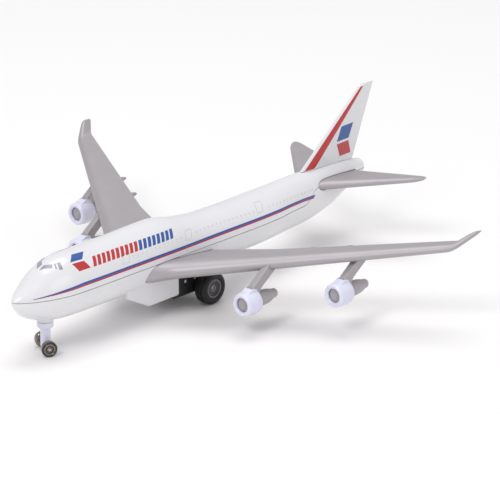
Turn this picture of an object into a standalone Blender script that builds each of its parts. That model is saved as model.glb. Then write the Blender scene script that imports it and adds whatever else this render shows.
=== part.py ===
"""A four-engine toy airliner with a pull-back motor, as the pieces that it is assembled from.

Metres, +Z up. The nose points along -Y, the left wing along +X, and the floor is z = 0.
"""

import math

import bmesh
import bpy
from mathutils import Vector

MM = 0.001

# ---------------------------------------------------------------- driving dimensions
# Clearances
FIT_GAP = 0.25 * MM  # between pieces that touch
RUN_GAP = 0.09 * MM  # round a pin, a shaft, a hub or a screw
SEAM_GAP = 0.25 * MM  # between the halves of the body, and of the motor case

# Fuselage; places along it are counted from the nose or from the tail end
BODY_LENGTH = 217.8 * MM
BODY_HALF_WIDTH = 12.5 * MM
DECK_HEIGHT = 14.9 * MM  # highest point of the upper deck above the seam
BODY_DEPTH = 13.0 * MM  # keel below the seam
SEAM_OVER_MOTOR = 8.5 * MM
WALL = 1.4 * MM

# Wing, one piece through the body
WING_FROM_NOSE = 68.45 * MM  # to the leading edge at the body's side
WING_BELOW_SEAM = 4.2 * MM
WING_ROOT_X = 11.5 * MM
WING_BEND_X = 109.6 * MM
WING_KINK_X = 40.9 * MM  # where the trailing edge kinks
WING_ROOT_CHORD = 36.2 * MM
WING_KINK_CHORD = 24.6 * MM
WING_BEND_CHORD = 8.6 * MM
WING_ROOT_THICKNESS = 8.0 * MM
WING_TIP_THICKNESS = 2.8 * MM
WING_SWEEP = 0.775  # dy over dx of the leading edge
WING_RISE = 0.150  # dz over dx of the leading edge
WING_GLOVE = 4.2 * MM  # how far the leading edge runs forward where it meets the body
WING_GLOVE_SPAN = 8 * MM
WING_ROOT_TWIST = 1.2 * MM  # trailing edge above leading edge
WING_BEND_TWIST = 1.9 * MM
WINGLET_SPAN = Vector((6.3, 9.1, 6.6)) * MM  # from the bend to the tip, along the leading edge
WINGLET_TIP_CHORD = 5.6 * MM
FAIRING_XS = (27 * MM, 53.3 * MM, 67.4 * MM)
FAIRING_LENGTH = 11 * MM
FAIRING_PAST_EDGE = 3.4 * MM
FAIRING_RADIUS = 1.25 * MM
FAIRING_BELOW_EDGE = 0.75 * MM

# Tail
STAB_FROM_TAIL = 37.5 * MM  # leading edge of the root to the tail end
STAB_OVER_SEAM = 5.3 * MM
STAB_ROOT_X = 6.0 * MM
STAB_TIP_X = 39.2 * MM
STAB_ROOT_CHORD = 29.4 * MM
STAB_TIP_CHORD = 5.2 * MM
STAB_SWEEP = 1.0
STAB_RISE = 0.075
STAB_ROOT_THICKNESS = 4.6 * MM
STAB_TIP_THICKNESS = 1.8 * MM
SEAM_CLIMB = 11 * MM  # the length ahead of the stabilizer over which the seam climbs to it
FIN_OVERHANG = 8.3 * MM  # the tip's trailing corner past the tail end
FIN_HEIGHT = 44.3 * MM  # tip above the seam
FIN_BASE_FRONT = 42.1 * MM  # ahead of the tail end
FIN_BASE_BACK = 5.9 * MM  # ahead of the tail end
FIN_TIP_CHORD = 9.55 * MM
FIN_ROOT_THICKNESS = 3.0 * MM
FIN_TIP_THICKNESS = 1.8 * MM
FIN_TAB_LENGTH = 16 * MM
FIN_TAB_THICKNESS = 1.6 * MM
FIN_TAB_OVER_STAB = 1.0 * MM

# Engines: each cowl's front rim lies this far (out, ahead of, below) the wing's leading edge
ENGINE_INNER = Vector((49.2, 14.8, 13.3)) * MM
ENGINE_OUTER = Vector((76.4, 9.05, 13.8)) * MM
COWL_RADIUS = 5.15 * MM
COWL_LENGTH = 8.4 * MM
COWL_LIP = 0.25 * MM
INTAKE_RADIUS = 3.05 * MM
INTAKE_DEPTH = 1.5 * MM  # from the rim to the core's face
CORE_RADIUS = 3.3 * MM
CORE_END = 18.2 * MM
NOZZLE_END = 21.8 * MM
NOZZLE_RADIUS = 2.1 * MM
PYLON_THICKNESS = 3.2 * MM
PYLON_PEG_RADIUS = 0.9 * MM
PYLON_PEG_LENGTH = 1.8 * MM
PYLON_PEG_BACK = 16.4 * MM  # behind the cowl's rim
SADDLE_LEDGE = 0.75 * MM  # of the cowl's saddle on either side of the pylon

# Running gear
WHEEL_RADIUS = 7.1 * MM
TYRE_WIDTH = 6.3 * MM
TYRE_GROOVE = 0.35 * MM
TYRE_GROOVE_PLACE = 4.0 * MM  # from the tyre's inner face
WHEEL_TO_MOTOR = 1.6 * MM
HUB_RADIUS = 4.2 * MM
AXLE_FROM_NOSE = 103.6 * MM
AXLE_RADIUS = 0.75 * MM
LEG_FROM_NOSE = 17.7 * MM
NOSE_WHEEL_RADIUS = 3.35 * MM
NOSE_WHEEL_WIDTH = 2.9 * MM
NOSE_WHEEL_INNER_X = 4.3 * MM  # inner face from the leg's axis
NOSE_AXLE_RADIUS = 0.6 * MM
STRUT_RADIUS = 2.15 * MM
COLLAR_RADIUS = 3.45 * MM
COLLAR_HEIGHT = 2.8 * MM
LEG_BOSS_RADIUS = 3.0 * MM
LEG_BOSS_HEIGHT = 6.5 * MM
LEG_PAD_DEPTH = 0.3 * MM  # below the keel
LEG_PEG_RADIUS = 1.5 * MM
LEG_SCREW_RADIUS = 0.6 * MM
LEG_SCREW_HEAD = 2.4 * MM
LEG_SCREW_LENGTH = 4.0 * MM
LEG_YAW = math.radians(-30)  # the leg stands turned to the right

# Belly housing and pull-back motor
HOUSING_OVER_MOTOR_BOTTOM = 1.7 * MM
HOUSING_AHEAD_OF_MOTOR = 16.4 * MM
HOUSING_RAMP = 13.0 * MM
HOUSING_REAR_RAMP = 4.0 * MM
HOUSING_EDGE = 1.2 * MM
MOTOR_IN_HOUSING = 2.0 * MM  # how much of the case the housing's side walls cover
MOTOR_HALF_WIDTH = 7.6 * MM
MOTOR_WALL = 0.8 * MM
MOTOR_UNDER_AXLE = 1.75 * MM
MOTOR_ROOM = 1.6 * MM  # past the gears at the front and the rear
MOTOR_FLANGE = 1.6 * MM
MOTOR_FLANGE_THICKNESS = 1.2 * MM
GEAR_MODULE = 0.35 * MM
PINION_TEETH = 8
IDLER_TEETH = 26
SPRING_TEETH = 27
AXLE_GEAR_SPAN = (0.5 * MM, 2.6 * MM)
IDLER_SPAN = (0.8 * MM, 2.2 * MM)
SPRING_GEAR_SPAN = (-1.9 * MM, -0.4 * MM)
PINION_OVERLAP = 0.3 * MM  # of the idler's pinion past the gears on either side
GEAR_SHAFT_RADIUS = 0.7 * MM
ARBOR_WALL = 0.4 * MM
SPRING_STRIP = 0.28 * MM
SPRING_TURNS = 3
SPRING_SIDE_ROOM = 1.0 * MM  # between the spring and the case
SPRING_TO_GEAR = 0.6 * MM

# Screws
BODY_SCREWS_FROM_NOSE = (41 * MM, 151 * MM)
BODY_SCREW_RADIUS = 1.0 * MM
BODY_SCREW_HEAD = 2.1 * MM
BODY_SCREW_HEAD_HEIGHT = 1.5 * MM
BODY_SCREW_SINK = 5.2 * MM  # seat above the keel
BODY_SCREW_BITE = 7.0 * MM  # into the upper half
SCREW_POST_WALL = 2.3 * MM
SCREW_BOSS_WALL = 1.7 * MM
MOTOR_SCREW_RADIUS = 0.5 * MM
MOTOR_SCREW_HEAD = 1.1 * MM
MOTOR_SCREW_HEAD_HEIGHT = 0.9 * MM
MOTOR_SCREW_SINK = 1.2 * MM
MOTOR_SCREW_LENGTH = 10 * MM
MOTOR_PILLAR_RADIUS = 1.5 * MM

# ---------------------------------------------------------------- outlines of the body
# (share of the length from the nose, share of the named size)
WIDTH_LINE = (
    (0, 0), (0.0055, 0.17), (0.02, 0.39), (0.037, 0.57), (0.065, 0.79), (0.107, 0.96),
    (0.157, 1.0), (0.606, 1.0), (0.687, 0.93), (0.727, 0.82), (0.778, 0.71), (0.828, 0.62),
    (0.919, 0.42), (1, 0.27),
)
TOP_LINE = (
    (0, 0), (0.0055, 0.12), (0.035, 0.39), (0.058, 0.64), (0.085, 0.82), (0.119, 0.94),
    (0.172, 0.95), (0.263, 0.97), (0.358, 1.0), (0.394, 0.96), (0.434, 0.84), (0.491, 0.725),
    (0.535, 0.695), (0.606, 0.69), (0.687, 0.73), (0.808, 0.805), (0.919, 0.75), (0.98, 0.66),
    (1, 0.61),
)
KEEL_LINE = (
    (0, 0), (0.0064, 0.26), (0.027, 0.61), (0.077, 0.91), (0.117, 0.98), (0.273, 1.0),
    (0.626, 0.98), (0.727, 0.925), (0.818, 0.84), (0.894, 0.58), (0.939, 0.27), (1, -0.12),
)
MIDDLE_LINE = (
    (0, 0), (0.15, -0.07), (0.606, -0.07), (0.687, -0.06), (0.818, 0.04), (0.894, 0.14),
    (0.939, 0.3), (1, 0.42),
)
NOSE_START = 0.0008  # the share at which the nose's first ring is drawn
TAIL_ROUNDING = ((0.996, 0.93), (1.0, 0.78))  # (share of the length, share of the outline's size)
CAVITY_SPAN = (0.028, 0.972)

# Fineness of the surfaces
STATIONS = 28
AROUND = 20
WING_SIDE_POINTS = 7
TAIL_SIDE_POINTS = 6
SECTION_CROWN = 0.22  # share of the chord at which a section is thickest
EDGE_THICKNESS = 0.14  # of the trailing edge, as a share of the thickest


# ---------------------------------------------------------------- sizes that follow from those
def pitch_radius(teeth):
    return GEAR_MODULE * teeth / 2


def tip_radius(teeth):
    return pitch_radius(teeth) + 0.8 * GEAR_MODULE


def root_radius(teeth):
    return pitch_radius(teeth) - GEAR_MODULE


NOSE_TIP_Y = -(BODY_LENGTH + FIN_OVERHANG) / 2
TAIL_END_Y = NOSE_TIP_Y + BODY_LENGTH

# The wheel sets the axle's height, the gears set the motor's box, and the body lies over the motor.
AXLE = Vector((0, NOSE_TIP_Y + AXLE_FROM_NOSE, WHEEL_RADIUS))
MOTOR_BOTTOM_Z = AXLE.z - MOTOR_UNDER_AXLE
GEAR_SHAFT_Z = MOTOR_BOTTOM_Z + MOTOR_WALL + FIT_GAP + tip_radius(max(IDLER_TEETH, SPRING_TEETH))
IDLER_REACH = pitch_radius(PINION_TEETH) + pitch_radius(IDLER_TEETH)
SPRING_REACH = pitch_radius(PINION_TEETH) + pitch_radius(SPRING_TEETH)
IDLER_Y = AXLE.y - math.sqrt(IDLER_REACH**2 - (GEAR_SHAFT_Z - AXLE.z) ** 2)
IDLER = Vector((0, IDLER_Y, GEAR_SHAFT_Z))
SPRING = Vector((0, IDLER_Y - SPRING_REACH, GEAR_SHAFT_Z))
MOTOR_FRONT_Y = SPRING.y - tip_radius(SPRING_TEETH) - MOTOR_ROOM - MOTOR_WALL
MOTOR_REAR_Y = AXLE.y + pitch_radius(PINION_TEETH) + MOTOR_ROOM
MOTOR_TOP_Z = GEAR_SHAFT_Z + tip_radius(max(IDLER_TEETH, SPRING_TEETH)) + FIT_GAP + MOTOR_WALL
MOTOR_INNER_X = MOTOR_HALF_WIDTH - MOTOR_WALL

SEAM_HEIGHT = MOTOR_TOP_Z + SEAM_OVER_MOTOR
HOUSING_FLOOR_Z = MOTOR_BOTTOM_Z + HOUSING_OVER_MOTOR_BOTTOM
HOUSING_FRONT_Y = MOTOR_FRONT_Y - HOUSING_AHEAD_OF_MOTOR
WING_ROOT_LEAD = Vector((0, NOSE_TIP_Y + WING_FROM_NOSE, SEAM_HEIGHT - WING_BELOW_SEAM))
STAB_ROOT_LEAD = Vector((0, TAIL_END_Y - STAB_FROM_TAIL, SEAM_HEIGHT + STAB_OVER_SEAM))
FIN_TIP_Z = SEAM_HEIGHT + FIN_HEIGHT
LEG_Y = NOSE_TIP_Y + LEG_FROM_NOSE
TYRE_BACK_X = MOTOR_HALF_WIDTH + WHEEL_TO_MOTOR
TYRE_FACE_X = TYRE_BACK_X + TYRE_WIDTH
NOSE_WHEEL_FACE_X = NOSE_WHEEL_INNER_X + NOSE_WHEEL_WIDTH
UP = Vector((0, 0, 1))


# ---------------------------------------------------------------- helpers
def clear_scene():
    for obj in list(bpy.data.objects):
        bpy.data.objects.remove(obj, do_unlink=True)


def material(name, colour, roughness, metallic=0.0):
    made = bpy.data.materials.new(name)
    made.use_nodes = True
    shader = made.node_tree.nodes["Principled BSDF"]
    shader.inputs["Base Color"].default_value = (*colour, 1)
    shader.inputs["Roughness"].default_value = roughness
    shader.inputs["Metallic"].default_value = metallic
    made.diffuse_color = (*colour, 1)
    return made


def add_object(name, mesh, finish=None):
    obj = bpy.data.objects.new(name, mesh)
    bpy.context.scene.collection.objects.link(obj)
    if finish:
        mesh.materials.append(finish)
    return obj


def make_helper(obj):
    obj.hide_render = True
    obj.display_type = "WIRE"
    return obj


def slope_at(xs, ys, k):
    """The rise over run of a line of points at its point k, from the points on either side."""
    low = max(k - 1, 0)
    high = min(k + 1, len(xs) - 1)
    return (ys[high] - ys[low]) / (xs[high] - xs[low])


def curve_at(line, share):
    """The line's value at this share, on a smooth curve over the root of the share, so that a nose is blunt."""
    xs = [math.sqrt(point[0]) for point in line]
    ys = [point[1] for point in line]
    x = math.sqrt(min(max(share, 0), 1))
    i = 0
    while i < len(xs) - 2 and x > xs[i + 1]:
        i += 1
    step = xs[i + 1] - xs[i]
    t = (x - xs[i]) / step
    rise = ys[i + 1] - ys[i]
    a = slope_at(xs, ys, i) * step
    b = slope_at(xs, ys, i + 1) * step
    return ys[i] + t * (a + t * (3 * rise - 2 * a - b + t * (a + b - 2 * rise)))


def skin(name, rings, loop=False, finish=None):
    """A closed mesh over rings that have the same number of points. A loop of rings joins its ends."""
    bm = bmesh.new()
    rows = [[bm.verts.new(point) for point in ring] for ring in rings]
    pairs = list(zip(rows, rows[1:]))
    if loop:
        pairs.append((rows[-1], rows[0]))
    for low, high in pairs:
        for k in range(len(low)):
            n = (k + 1) % len(low)
            bm.faces.new((low[k], low[n], high[n], high[k]))
    if not loop:
        bm.faces.new(reversed(rows[0]))
        bm.faces.new(rows[-1])
    bmesh.ops.recalc_face_normals(bm, faces=bm.faces)
    mesh = bpy.data.meshes.new(name)
    bm.to_mesh(mesh)
    bm.free()
    mesh.shade_smooth()
    mesh.set_sharp_from_angle(angle=math.radians(35))
    return add_object(name, mesh, finish)


def turned(name, profile, axis="X", sides=24, centre=(0, 0, 0), loop=False, finish=None):
    """A body turned about an axis through the centre. The profile is (place along the axis, radius)."""
    frames = {
        "X": (Vector((1, 0, 0)), Vector((0, 1, 0)), Vector((0, 0, 1))),
        "Y": (Vector((0, 1, 0)), Vector((0, 0, 1)), Vector((1, 0, 0))),
        "Z": (Vector((0, 0, 1)), Vector((1, 0, 0)), Vector((0, 1, 0))),
    }
    along, across, up = frames[axis]
    rings = []
    for place, radius in profile:
        ring = []
        for k in range(sides):
            angle = 2 * math.pi * k / sides
            spoke = across * math.cos(angle) + up * math.sin(angle)
            ring.append(Vector(centre) + along * place + spoke * radius)
        rings.append(ring)
    return skin(name, rings, loop, finish)


def rod(name, start, end, radius, axis="X", sides=16, centre=(0, 0, 0), finish=None):
    return turned(name, ((start, radius), (end, radius)), axis, sides, centre, finish=finish)


def pin(name, half, radius, sides, centre, finish):
    """A pin across the middle, with tapered ends."""
    profile = (
        (-half, radius * 0.6),
        (-half + radius * 0.4, radius),
        (half - radius * 0.4, radius),
        (half, radius * 0.6),
    )
    return turned(name, profile, "X", sides, centre, finish=finish)


def prism(name, outline, start, end, finish=None):
    """An outline of (y, z) points carried along X."""
    rings = [[Vector((x, y, z)) for y, z in outline] for x in (start, end)]
    return skin(name, rings, finish=finish)


def block(name, low, high, finish=None):
    (x0, y0, z0), (x1, y1, z1) = low, high
    return prism(name, ((y0, z0), (y1, z0), (y1, z1), (y0, z1)), x0, x1, finish)


def bevel(obj, width, segments):
    edge = obj.modifiers.new("edge", "BEVEL")
    edge.width = width
    edge.segments = segments


def boolean(obj, other, operation="DIFFERENCE"):
    modifier = obj.modifiers.new(operation.title() + "_" + other.name, "BOOLEAN")
    modifier.operation = operation
    modifier.object = other
    modifier.solver = "EXACT"
    make_helper(other)


def join(obj, *others):
    for other in others:
        boolean(obj, other, "UNION")


def cut(obj, *others):
    for other in others:
        boolean(obj, other)


# ---------------------------------------------------------------- the body's shape
def share_at(y):
    return (y - NOSE_TIP_Y) / BODY_LENGTH


def half_width(y):
    return BODY_HALF_WIDTH * curve_at(WIDTH_LINE, share_at(y))


def top_z(y):
    return SEAM_HEIGHT + DECK_HEIGHT * curve_at(TOP_LINE, share_at(y))


def keel_z(y):
    return SEAM_HEIGHT - BODY_DEPTH * curve_at(KEEL_LINE, share_at(y))


def middle_z(y):
    return SEAM_HEIGHT + BODY_DEPTH * curve_at(MIDDLE_LINE, share_at(y))


def body_ring(y, inset=0.0, size=1.0):
    """The body's outline at y, moved in by the inset, and sized about its middle where the tail rounds off."""
    middle = middle_z(y)
    wide = (half_width(y) - inset) * size
    up = (top_z(y) - middle - inset) * size
    down = (middle - keel_z(y) - inset) * size
    ring = []
    for k in range(AROUND):
        angle = 2 * math.pi * k / AROUND
        height = up if math.sin(angle) > 0 else down
        ring.append(Vector((wide * math.cos(angle), y, middle + height * math.sin(angle))))
    return ring


def spaced(first, last, count):
    """Shares from first to last, closer together at the start."""
    return [first + (last - first) * (k / count) ** 1.5 for k in range(count + 1)]


def body_loft(name, grow=0.0, finish=None):
    """The whole body, or where it grows, the space it needs."""
    rings = []
    for share in spaced(NOSE_START, TAIL_ROUNDING[0][0] - 0.005, STATIONS):
        rings.append(body_ring(NOSE_TIP_Y + BODY_LENGTH * share, -grow))
    for point in rings[0]:
        point.y = NOSE_TIP_Y
    for share, size in TAIL_ROUNDING:
        rings.append(body_ring(NOSE_TIP_Y + BODY_LENGTH * share, -grow, size))
    return skin(name, rings, finish=finish)


def cavity_loft(name):
    rings = []
    for share in spaced(*CAVITY_SPAN, STATIONS * 2 // 3):
        rings.append(body_ring(NOSE_TIP_Y + BODY_LENGTH * share, WALL))
    return skin(name, rings)


def seam_line(offset):
    """The seam as (y, z) points, moved up or down by the offset. It climbs to the stabilizer at the tail."""
    points = [(NOSE_TIP_Y - BODY_HALF_WIDTH, SEAM_HEIGHT + offset)]
    steps = 6
    for k in range(steps + 1):
        t = k / steps
        rise = STAB_OVER_SEAM * t * t * (3 - 2 * t)
        points.append((STAB_ROOT_LEAD.y - SEAM_CLIMB * (1 - t), SEAM_HEIGHT + rise + offset))
    points.append((TAIL_END_Y + BODY_HALF_WIDTH, STAB_ROOT_LEAD.z + offset))
    return points


def seam_cutter(name, side):
    """Everything on one side of the seam: side +1 is above it, -1 is below it."""
    line = seam_line(-side * SEAM_GAP / 2)
    far = SEAM_HEIGHT + side * (DECK_HEIGHT + SEAM_HEIGHT)
    outline = line + [(line[-1][0], far), (line[0][0], far)]
    return prism(name, outline, -3 * BODY_HALF_WIDTH, 3 * BODY_HALF_WIDTH)


# ---------------------------------------------------------------- flying surfaces
def thickness_share(s):
    """A section's thickness at s along the chord, as a share of its thickest."""
    if s < SECTION_CROWN:
        return math.sqrt(max(0, 1 - (1 - s / SECTION_CROWN) ** 2))
    return 1 - (1 - EDGE_THICKNESS) * ((s - SECTION_CROWN) / (1 - SECTION_CROWN)) ** 1.35


def section(lead, trail, normal, thickness, grow=0.0, per_side=WING_SIDE_POINTS):
    """The outline of a surface between its leading and trailing points, grown on every side for a clearance."""
    ahead = (trail - lead).normalized() * grow
    lead = lead - ahead
    chord = trail + ahead - lead
    upper = []
    lower = []
    for k in range(per_side):
        s = 0.5 - 0.5 * math.cos(math.pi * (k + 0.5) / per_side)
        rise = normal * (thickness_share(s) * thickness / 2 + grow)
        upper.append(lead + chord * s + rise)
        lower.append(lead + chord * s - rise)
    return upper + [trail + ahead] + lower[::-1] + [lead]


def mirrored(point):
    return Vector((-point.x, point.y, point.z))


def both_sides(name, left, finish=None):
    """A skin over sections that start in the middle and run out to the left, and their mirror images."""
    right = [[mirrored(point) for point in ring] for ring in left[:0:-1]]
    return skin(name, right + left, finish=finish)


def between(low, high, share):
    return low + (high - low) * share


def wing_share(x):
    return min(max((x - WING_ROOT_X) / (WING_BEND_X - WING_ROOT_X), 0), 1)


def wing_line(x):
    """The straight leading edge, without the glove."""
    out = max(x - WING_ROOT_X, 0)
    return Vector((x, WING_ROOT_LEAD.y + out * WING_SWEEP, WING_ROOT_LEAD.z + out * WING_RISE))


def wing_lead(x):
    out = min(max(x - WING_ROOT_X, 0) / WING_GLOVE_SPAN, 1)
    return wing_line(x) - Vector((0, WING_GLOVE * (1 - out) ** 2, 0))


def wing_chord(x):
    if x <= WING_KINK_X:
        share = max(x - WING_ROOT_X, 0) / (WING_KINK_X - WING_ROOT_X)
        return between(WING_ROOT_CHORD, WING_KINK_CHORD, share)
    share = (x - WING_KINK_X) / (WING_BEND_X - WING_KINK_X)
    return between(WING_KINK_CHORD, WING_BEND_CHORD, share)


def wing_trail(x):
    twist = between(WING_ROOT_TWIST, WING_BEND_TWIST, wing_share(x))
    return wing_line(x) + Vector((0, wing_chord(x), twist))


def wing_thickness(x):
    return between(WING_ROOT_THICKNESS, WING_TIP_THICKNESS, wing_share(x) ** 0.8)


def wing_rings(grow=0.0):
    """Sections of the left wing from the middle of the body to the winglet's tip."""
    panel_up = Vector((-WING_RISE, 0, 1)).normalized()
    winglet_up = Vector((-WINGLET_SPAN.z, 0, WINGLET_SPAN.x)).normalized()
    bend_up = (panel_up + winglet_up).normalized()
    near_bend = WING_BEND_X - WING_TIP_THICKNESS / 2
    rings = []
    for x in (0.0, WING_ROOT_X):
        rings.append(section(wing_lead(x), wing_trail(x), UP, wing_thickness(x), grow))
    for x in (
        WING_ROOT_X + WING_GLOVE_SPAN * 0.4,
        WING_ROOT_X + WING_GLOVE_SPAN,
        WING_KINK_X,
        between(WING_KINK_X, near_bend, 0.5),
        near_bend,
    ):
        rings.append(section(wing_lead(x), wing_trail(x), panel_up, wing_thickness(x), grow))
    lead = wing_line(WING_BEND_X)
    rings.append(section(lead, wing_trail(WING_BEND_X), bend_up, WING_TIP_THICKNESS, grow))
    for along, corner, thick in ((0.25, 0, 0.95), (0.85, 0, 0.75), (1.0, 0.25, 0.45)):
        chord = between(WING_BEND_CHORD, WINGLET_TIP_CHORD, along)
        front = lead + WINGLET_SPAN * along + Vector((0, chord * corner / 2, 0))
        back = front + Vector((0, chord * (1 - corner), WING_BEND_TWIST * (1 - along)))
        rings.append(section(front, back, winglet_up, WING_TIP_THICKNESS * thick, grow))
    return rings


def stab_rings(grow=0.0):
    """Sections of the left stabilizer from the middle of the body to its tip."""
    rings = [stab_section(0.0, 0, grow)]
    for share in (0, 0.5, 0.94):
        rings.append(stab_section(between(STAB_ROOT_X, STAB_TIP_X, share), 0, grow))
    rings.append(stab_section(STAB_TIP_X, 1, grow))
    return rings


def stab_section(x, rounding, grow):
    """The stabilizer's section at x; rounding is 1 at the very tip, which is shorter and thinner."""
    out = max(x - STAB_ROOT_X, 0)
    share = out / (STAB_TIP_X - STAB_ROOT_X)
    chord = between(STAB_ROOT_CHORD, STAB_TIP_CHORD, share)
    thick = between(STAB_ROOT_THICKNESS, STAB_TIP_THICKNESS, share) * (1 - 0.4 * rounding)
    y = STAB_ROOT_LEAD.y + out * STAB_SWEEP
    lead = Vector((x, y + 0.3 * chord * rounding, STAB_ROOT_LEAD.z + out * STAB_RISE))
    trail = Vector((x, y + chord * (1 - 0.2 * rounding), lead.z + 0.3 * STAB_TIP_THICKNESS))
    return section(lead, trail, UP, thick, grow, TAIL_SIDE_POINTS)


# ---------------------------------------------------------------- pieces: wing and engines
def make_wing(silver):
    """The wing, with the flap-track fairings under its trailing edge."""
    wing = both_sides("wing", wing_rings(), silver)
    for side_name, side in (("left", 1), ("right", -1)):
        for k, x in enumerate(FAIRING_XS):
            edge = wing_trail(x)
            start = edge.y + FAIRING_PAST_EDGE - FAIRING_LENGTH
            profile = []
            for along in (0.0, 0.1, 0.35, 0.65, 0.9, 1.0):
                radius = FAIRING_RADIUS * math.sqrt(max(0.02, 1 - (2 * along - 1) ** 2))
                profile.append((start + FAIRING_LENGTH * along, radius))
            centre = (side * x, 0, edge.z - FAIRING_BELOW_EDGE)
            join(wing, turned(f"fairing_{k}_{side_name}", profile, "Y", 8, centre))
    return wing


def engine_places():
    """Each engine's name and the middle of its cowl's front rim."""
    for ring_name, place in (("inner", ENGINE_INNER), ("outer", ENGINE_OUTER)):
        lead = wing_line(place.x)
        for side_name, side in (("left", 1), ("right", -1)):
            yield f"{ring_name}_{side_name}", Vector((side * place.x, lead.y - place.y, lead.z - place.z))


def beside(place, points):
    """Points of (back, up) in millimetres from an engine's rim, as (y, z)."""
    return [(place.y + back * MM, place.z + up * MM) for back, up in points]


def wing_underside(x, y):
    share = (y - wing_line(x).y) / wing_chord(x)
    middle = between(wing_line(x).z, wing_trail(x).z, share)
    return middle - thickness_share(share) * wing_thickness(x) / 2


def make_engine(name, place, wing, silver, cowl_white):
    """The core with its pylon and peg, and the cowl that slides over the core from the front."""
    half = PYLON_THICKNESS / 2
    core_profile = (
        (INTAKE_DEPTH, CORE_RADIUS * 0.78),
        (INTAKE_DEPTH + 0.5 * MM, CORE_RADIUS),
        (CORE_END - 6 * MM, CORE_RADIUS),
        (CORE_END, NOZZLE_RADIUS + 0.4 * MM),
        (CORE_END + 0.4 * MM, NOZZLE_RADIUS),
        (NOZZLE_END - 0.6 * MM, NOZZLE_RADIUS * 0.95),
        (NOZZLE_END, NOZZLE_RADIUS * 0.6),
    )
    engine = turned(f"engine_{name}", core_profile, "Y", 16, place, finish=silver)
    pylon_outline = beside(place, (
        (4.6, 1.5), (5.7, 6.5), (12.9, 11.6), (16.5, 15.0),
        (22.5, 14.5), (19.9, 11.0), (10.8, 4.9), (10.6, 1.5),
    ))
    pylon = prism(f"pylon_{name}", pylon_outline, place.x - half, place.x + half)
    bevel(pylon, 0.4 * MM, 1)
    join(engine, pylon)
    cut(engine, bpy.data.objects["wing_clearance"])

    peg_y = place.y + PYLON_PEG_BACK
    seat = wing_underside(abs(place.x), peg_y)
    foot = seat - 3 * MM
    tip = seat + PYLON_PEG_LENGTH
    at = (place.x, peg_y, 0)
    join(engine, rod(f"peg_{name}", foot, tip, PYLON_PEG_RADIUS, "Z", 10, at))
    cut(wing, rod(f"socket_{name}", foot, tip + FIT_GAP, PYLON_PEG_RADIUS + RUN_GAP, "Z", 10, at))

    bore = CORE_RADIUS + RUN_GAP
    shelf = INTAKE_DEPTH - FIT_GAP
    cowl_profile = (
        (shelf / 2, INTAKE_RADIUS),
        (0, between(INTAKE_RADIUS, COWL_RADIUS, 0.3)),
        (0, between(INTAKE_RADIUS, COWL_RADIUS, 0.6)),
        (COWL_LIP, COWL_RADIUS - COWL_LIP),
        (4 * COWL_LIP, COWL_RADIUS),
        (COWL_LENGTH * 0.65, COWL_RADIUS + 0.2 * MM),
        (COWL_LENGTH - COWL_LIP, COWL_RADIUS - 0.1 * MM),
        (COWL_LENGTH, COWL_RADIUS - 2 * COWL_LIP),
        (COWL_LENGTH, bore),
        (shelf, bore),
        (shelf, INTAKE_RADIUS),
    )
    cowl = turned(f"cowl_{name}", cowl_profile, "Y", 20, place, loop=True, finish=cowl_white)
    saddle_end = COWL_LENGTH / MM - 0.25
    saddle_outline = beside(place, (
        (2.4, 4.6), (3.4, 5.5), (5.6, 6.9), (7.2, 6.3), (saddle_end, 5.4), (saddle_end, 4.3), (2.4, 4.3),
    ))
    ledge = half + SADDLE_LEDGE
    join(cowl, prism(f"saddle_{name}", saddle_outline, place.x - ledge, place.x + ledge))
    slot_outline = beside(place, ((4.35, 0), (4.35, 3.5), (5.4, 6.5), (9, 10), (20, 10), (20, 0)))
    room = half + RUN_GAP
    cut(cowl, prism(f"slot_{name}", slot_outline, place.x - room, place.x + room))


# ---------------------------------------------------------------- pieces: tail and body
def make_fin(white):
    """The fin stands on the body's crown and has a tab through it. What it returns cuts the tab's slot."""
    tip_back_y = TAIL_END_Y + FIN_OVERHANG
    tip_front_y = tip_back_y - FIN_TIP_CHORD
    base_front_y = TAIL_END_Y - FIN_BASE_FRONT
    base_back_y = TAIL_END_Y - FIN_BASE_BACK
    front_lean = (tip_front_y - base_front_y) / (FIN_TIP_Z - top_z(base_front_y))
    back_lean = (tip_back_y - base_back_y) / (FIN_TIP_Z - top_z(base_back_y))
    base_z = min(top_z(base_front_y), top_z(base_back_y)) - 3 * MM
    near_tip_z = FIN_TIP_Z - 0.8 * MM
    rings = []
    for z, corner, thick in ((base_z, 0, 1), (near_tip_z, 0, 1), (FIN_TIP_Z, 1.2 * MM, 0.55)):
        front = Vector((0, tip_front_y - front_lean * (FIN_TIP_Z - z) + corner, z))
        back = Vector((0, tip_back_y - back_lean * (FIN_TIP_Z - z), z))
        share = (z - base_z) / (FIN_TIP_Z - base_z)
        thickness = between(FIN_ROOT_THICKNESS, FIN_TIP_THICKNESS, share) * thick
        rings.append(section(front, back, Vector((1, 0, 0)), thickness, 0, TAIL_SIDE_POINTS))
    fin = skin("tail_fin", rings, finish=white)
    cut(fin, body_loft("body_under_fin", FIT_GAP))
    middle_y = (base_front_y + base_back_y) / 2
    half = Vector((FIN_TAB_THICKNESS, FIN_TAB_LENGTH, 0)) / 2
    tab_z = STAB_ROOT_LEAD.z + STAB_ROOT_THICKNESS / 2 + FIN_TAB_OVER_STAB
    low = Vector((0, middle_y, tab_z)) - half
    high = Vector((0, middle_y, top_z(middle_y) + FIN_TAB_THICKNESS * 2)) + half
    join(fin, block("fin_tab", low, high))
    room = Vector((RUN_GAP, RUN_GAP, RUN_GAP))
    return block("fin_slot", low - room, high + room)


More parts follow.
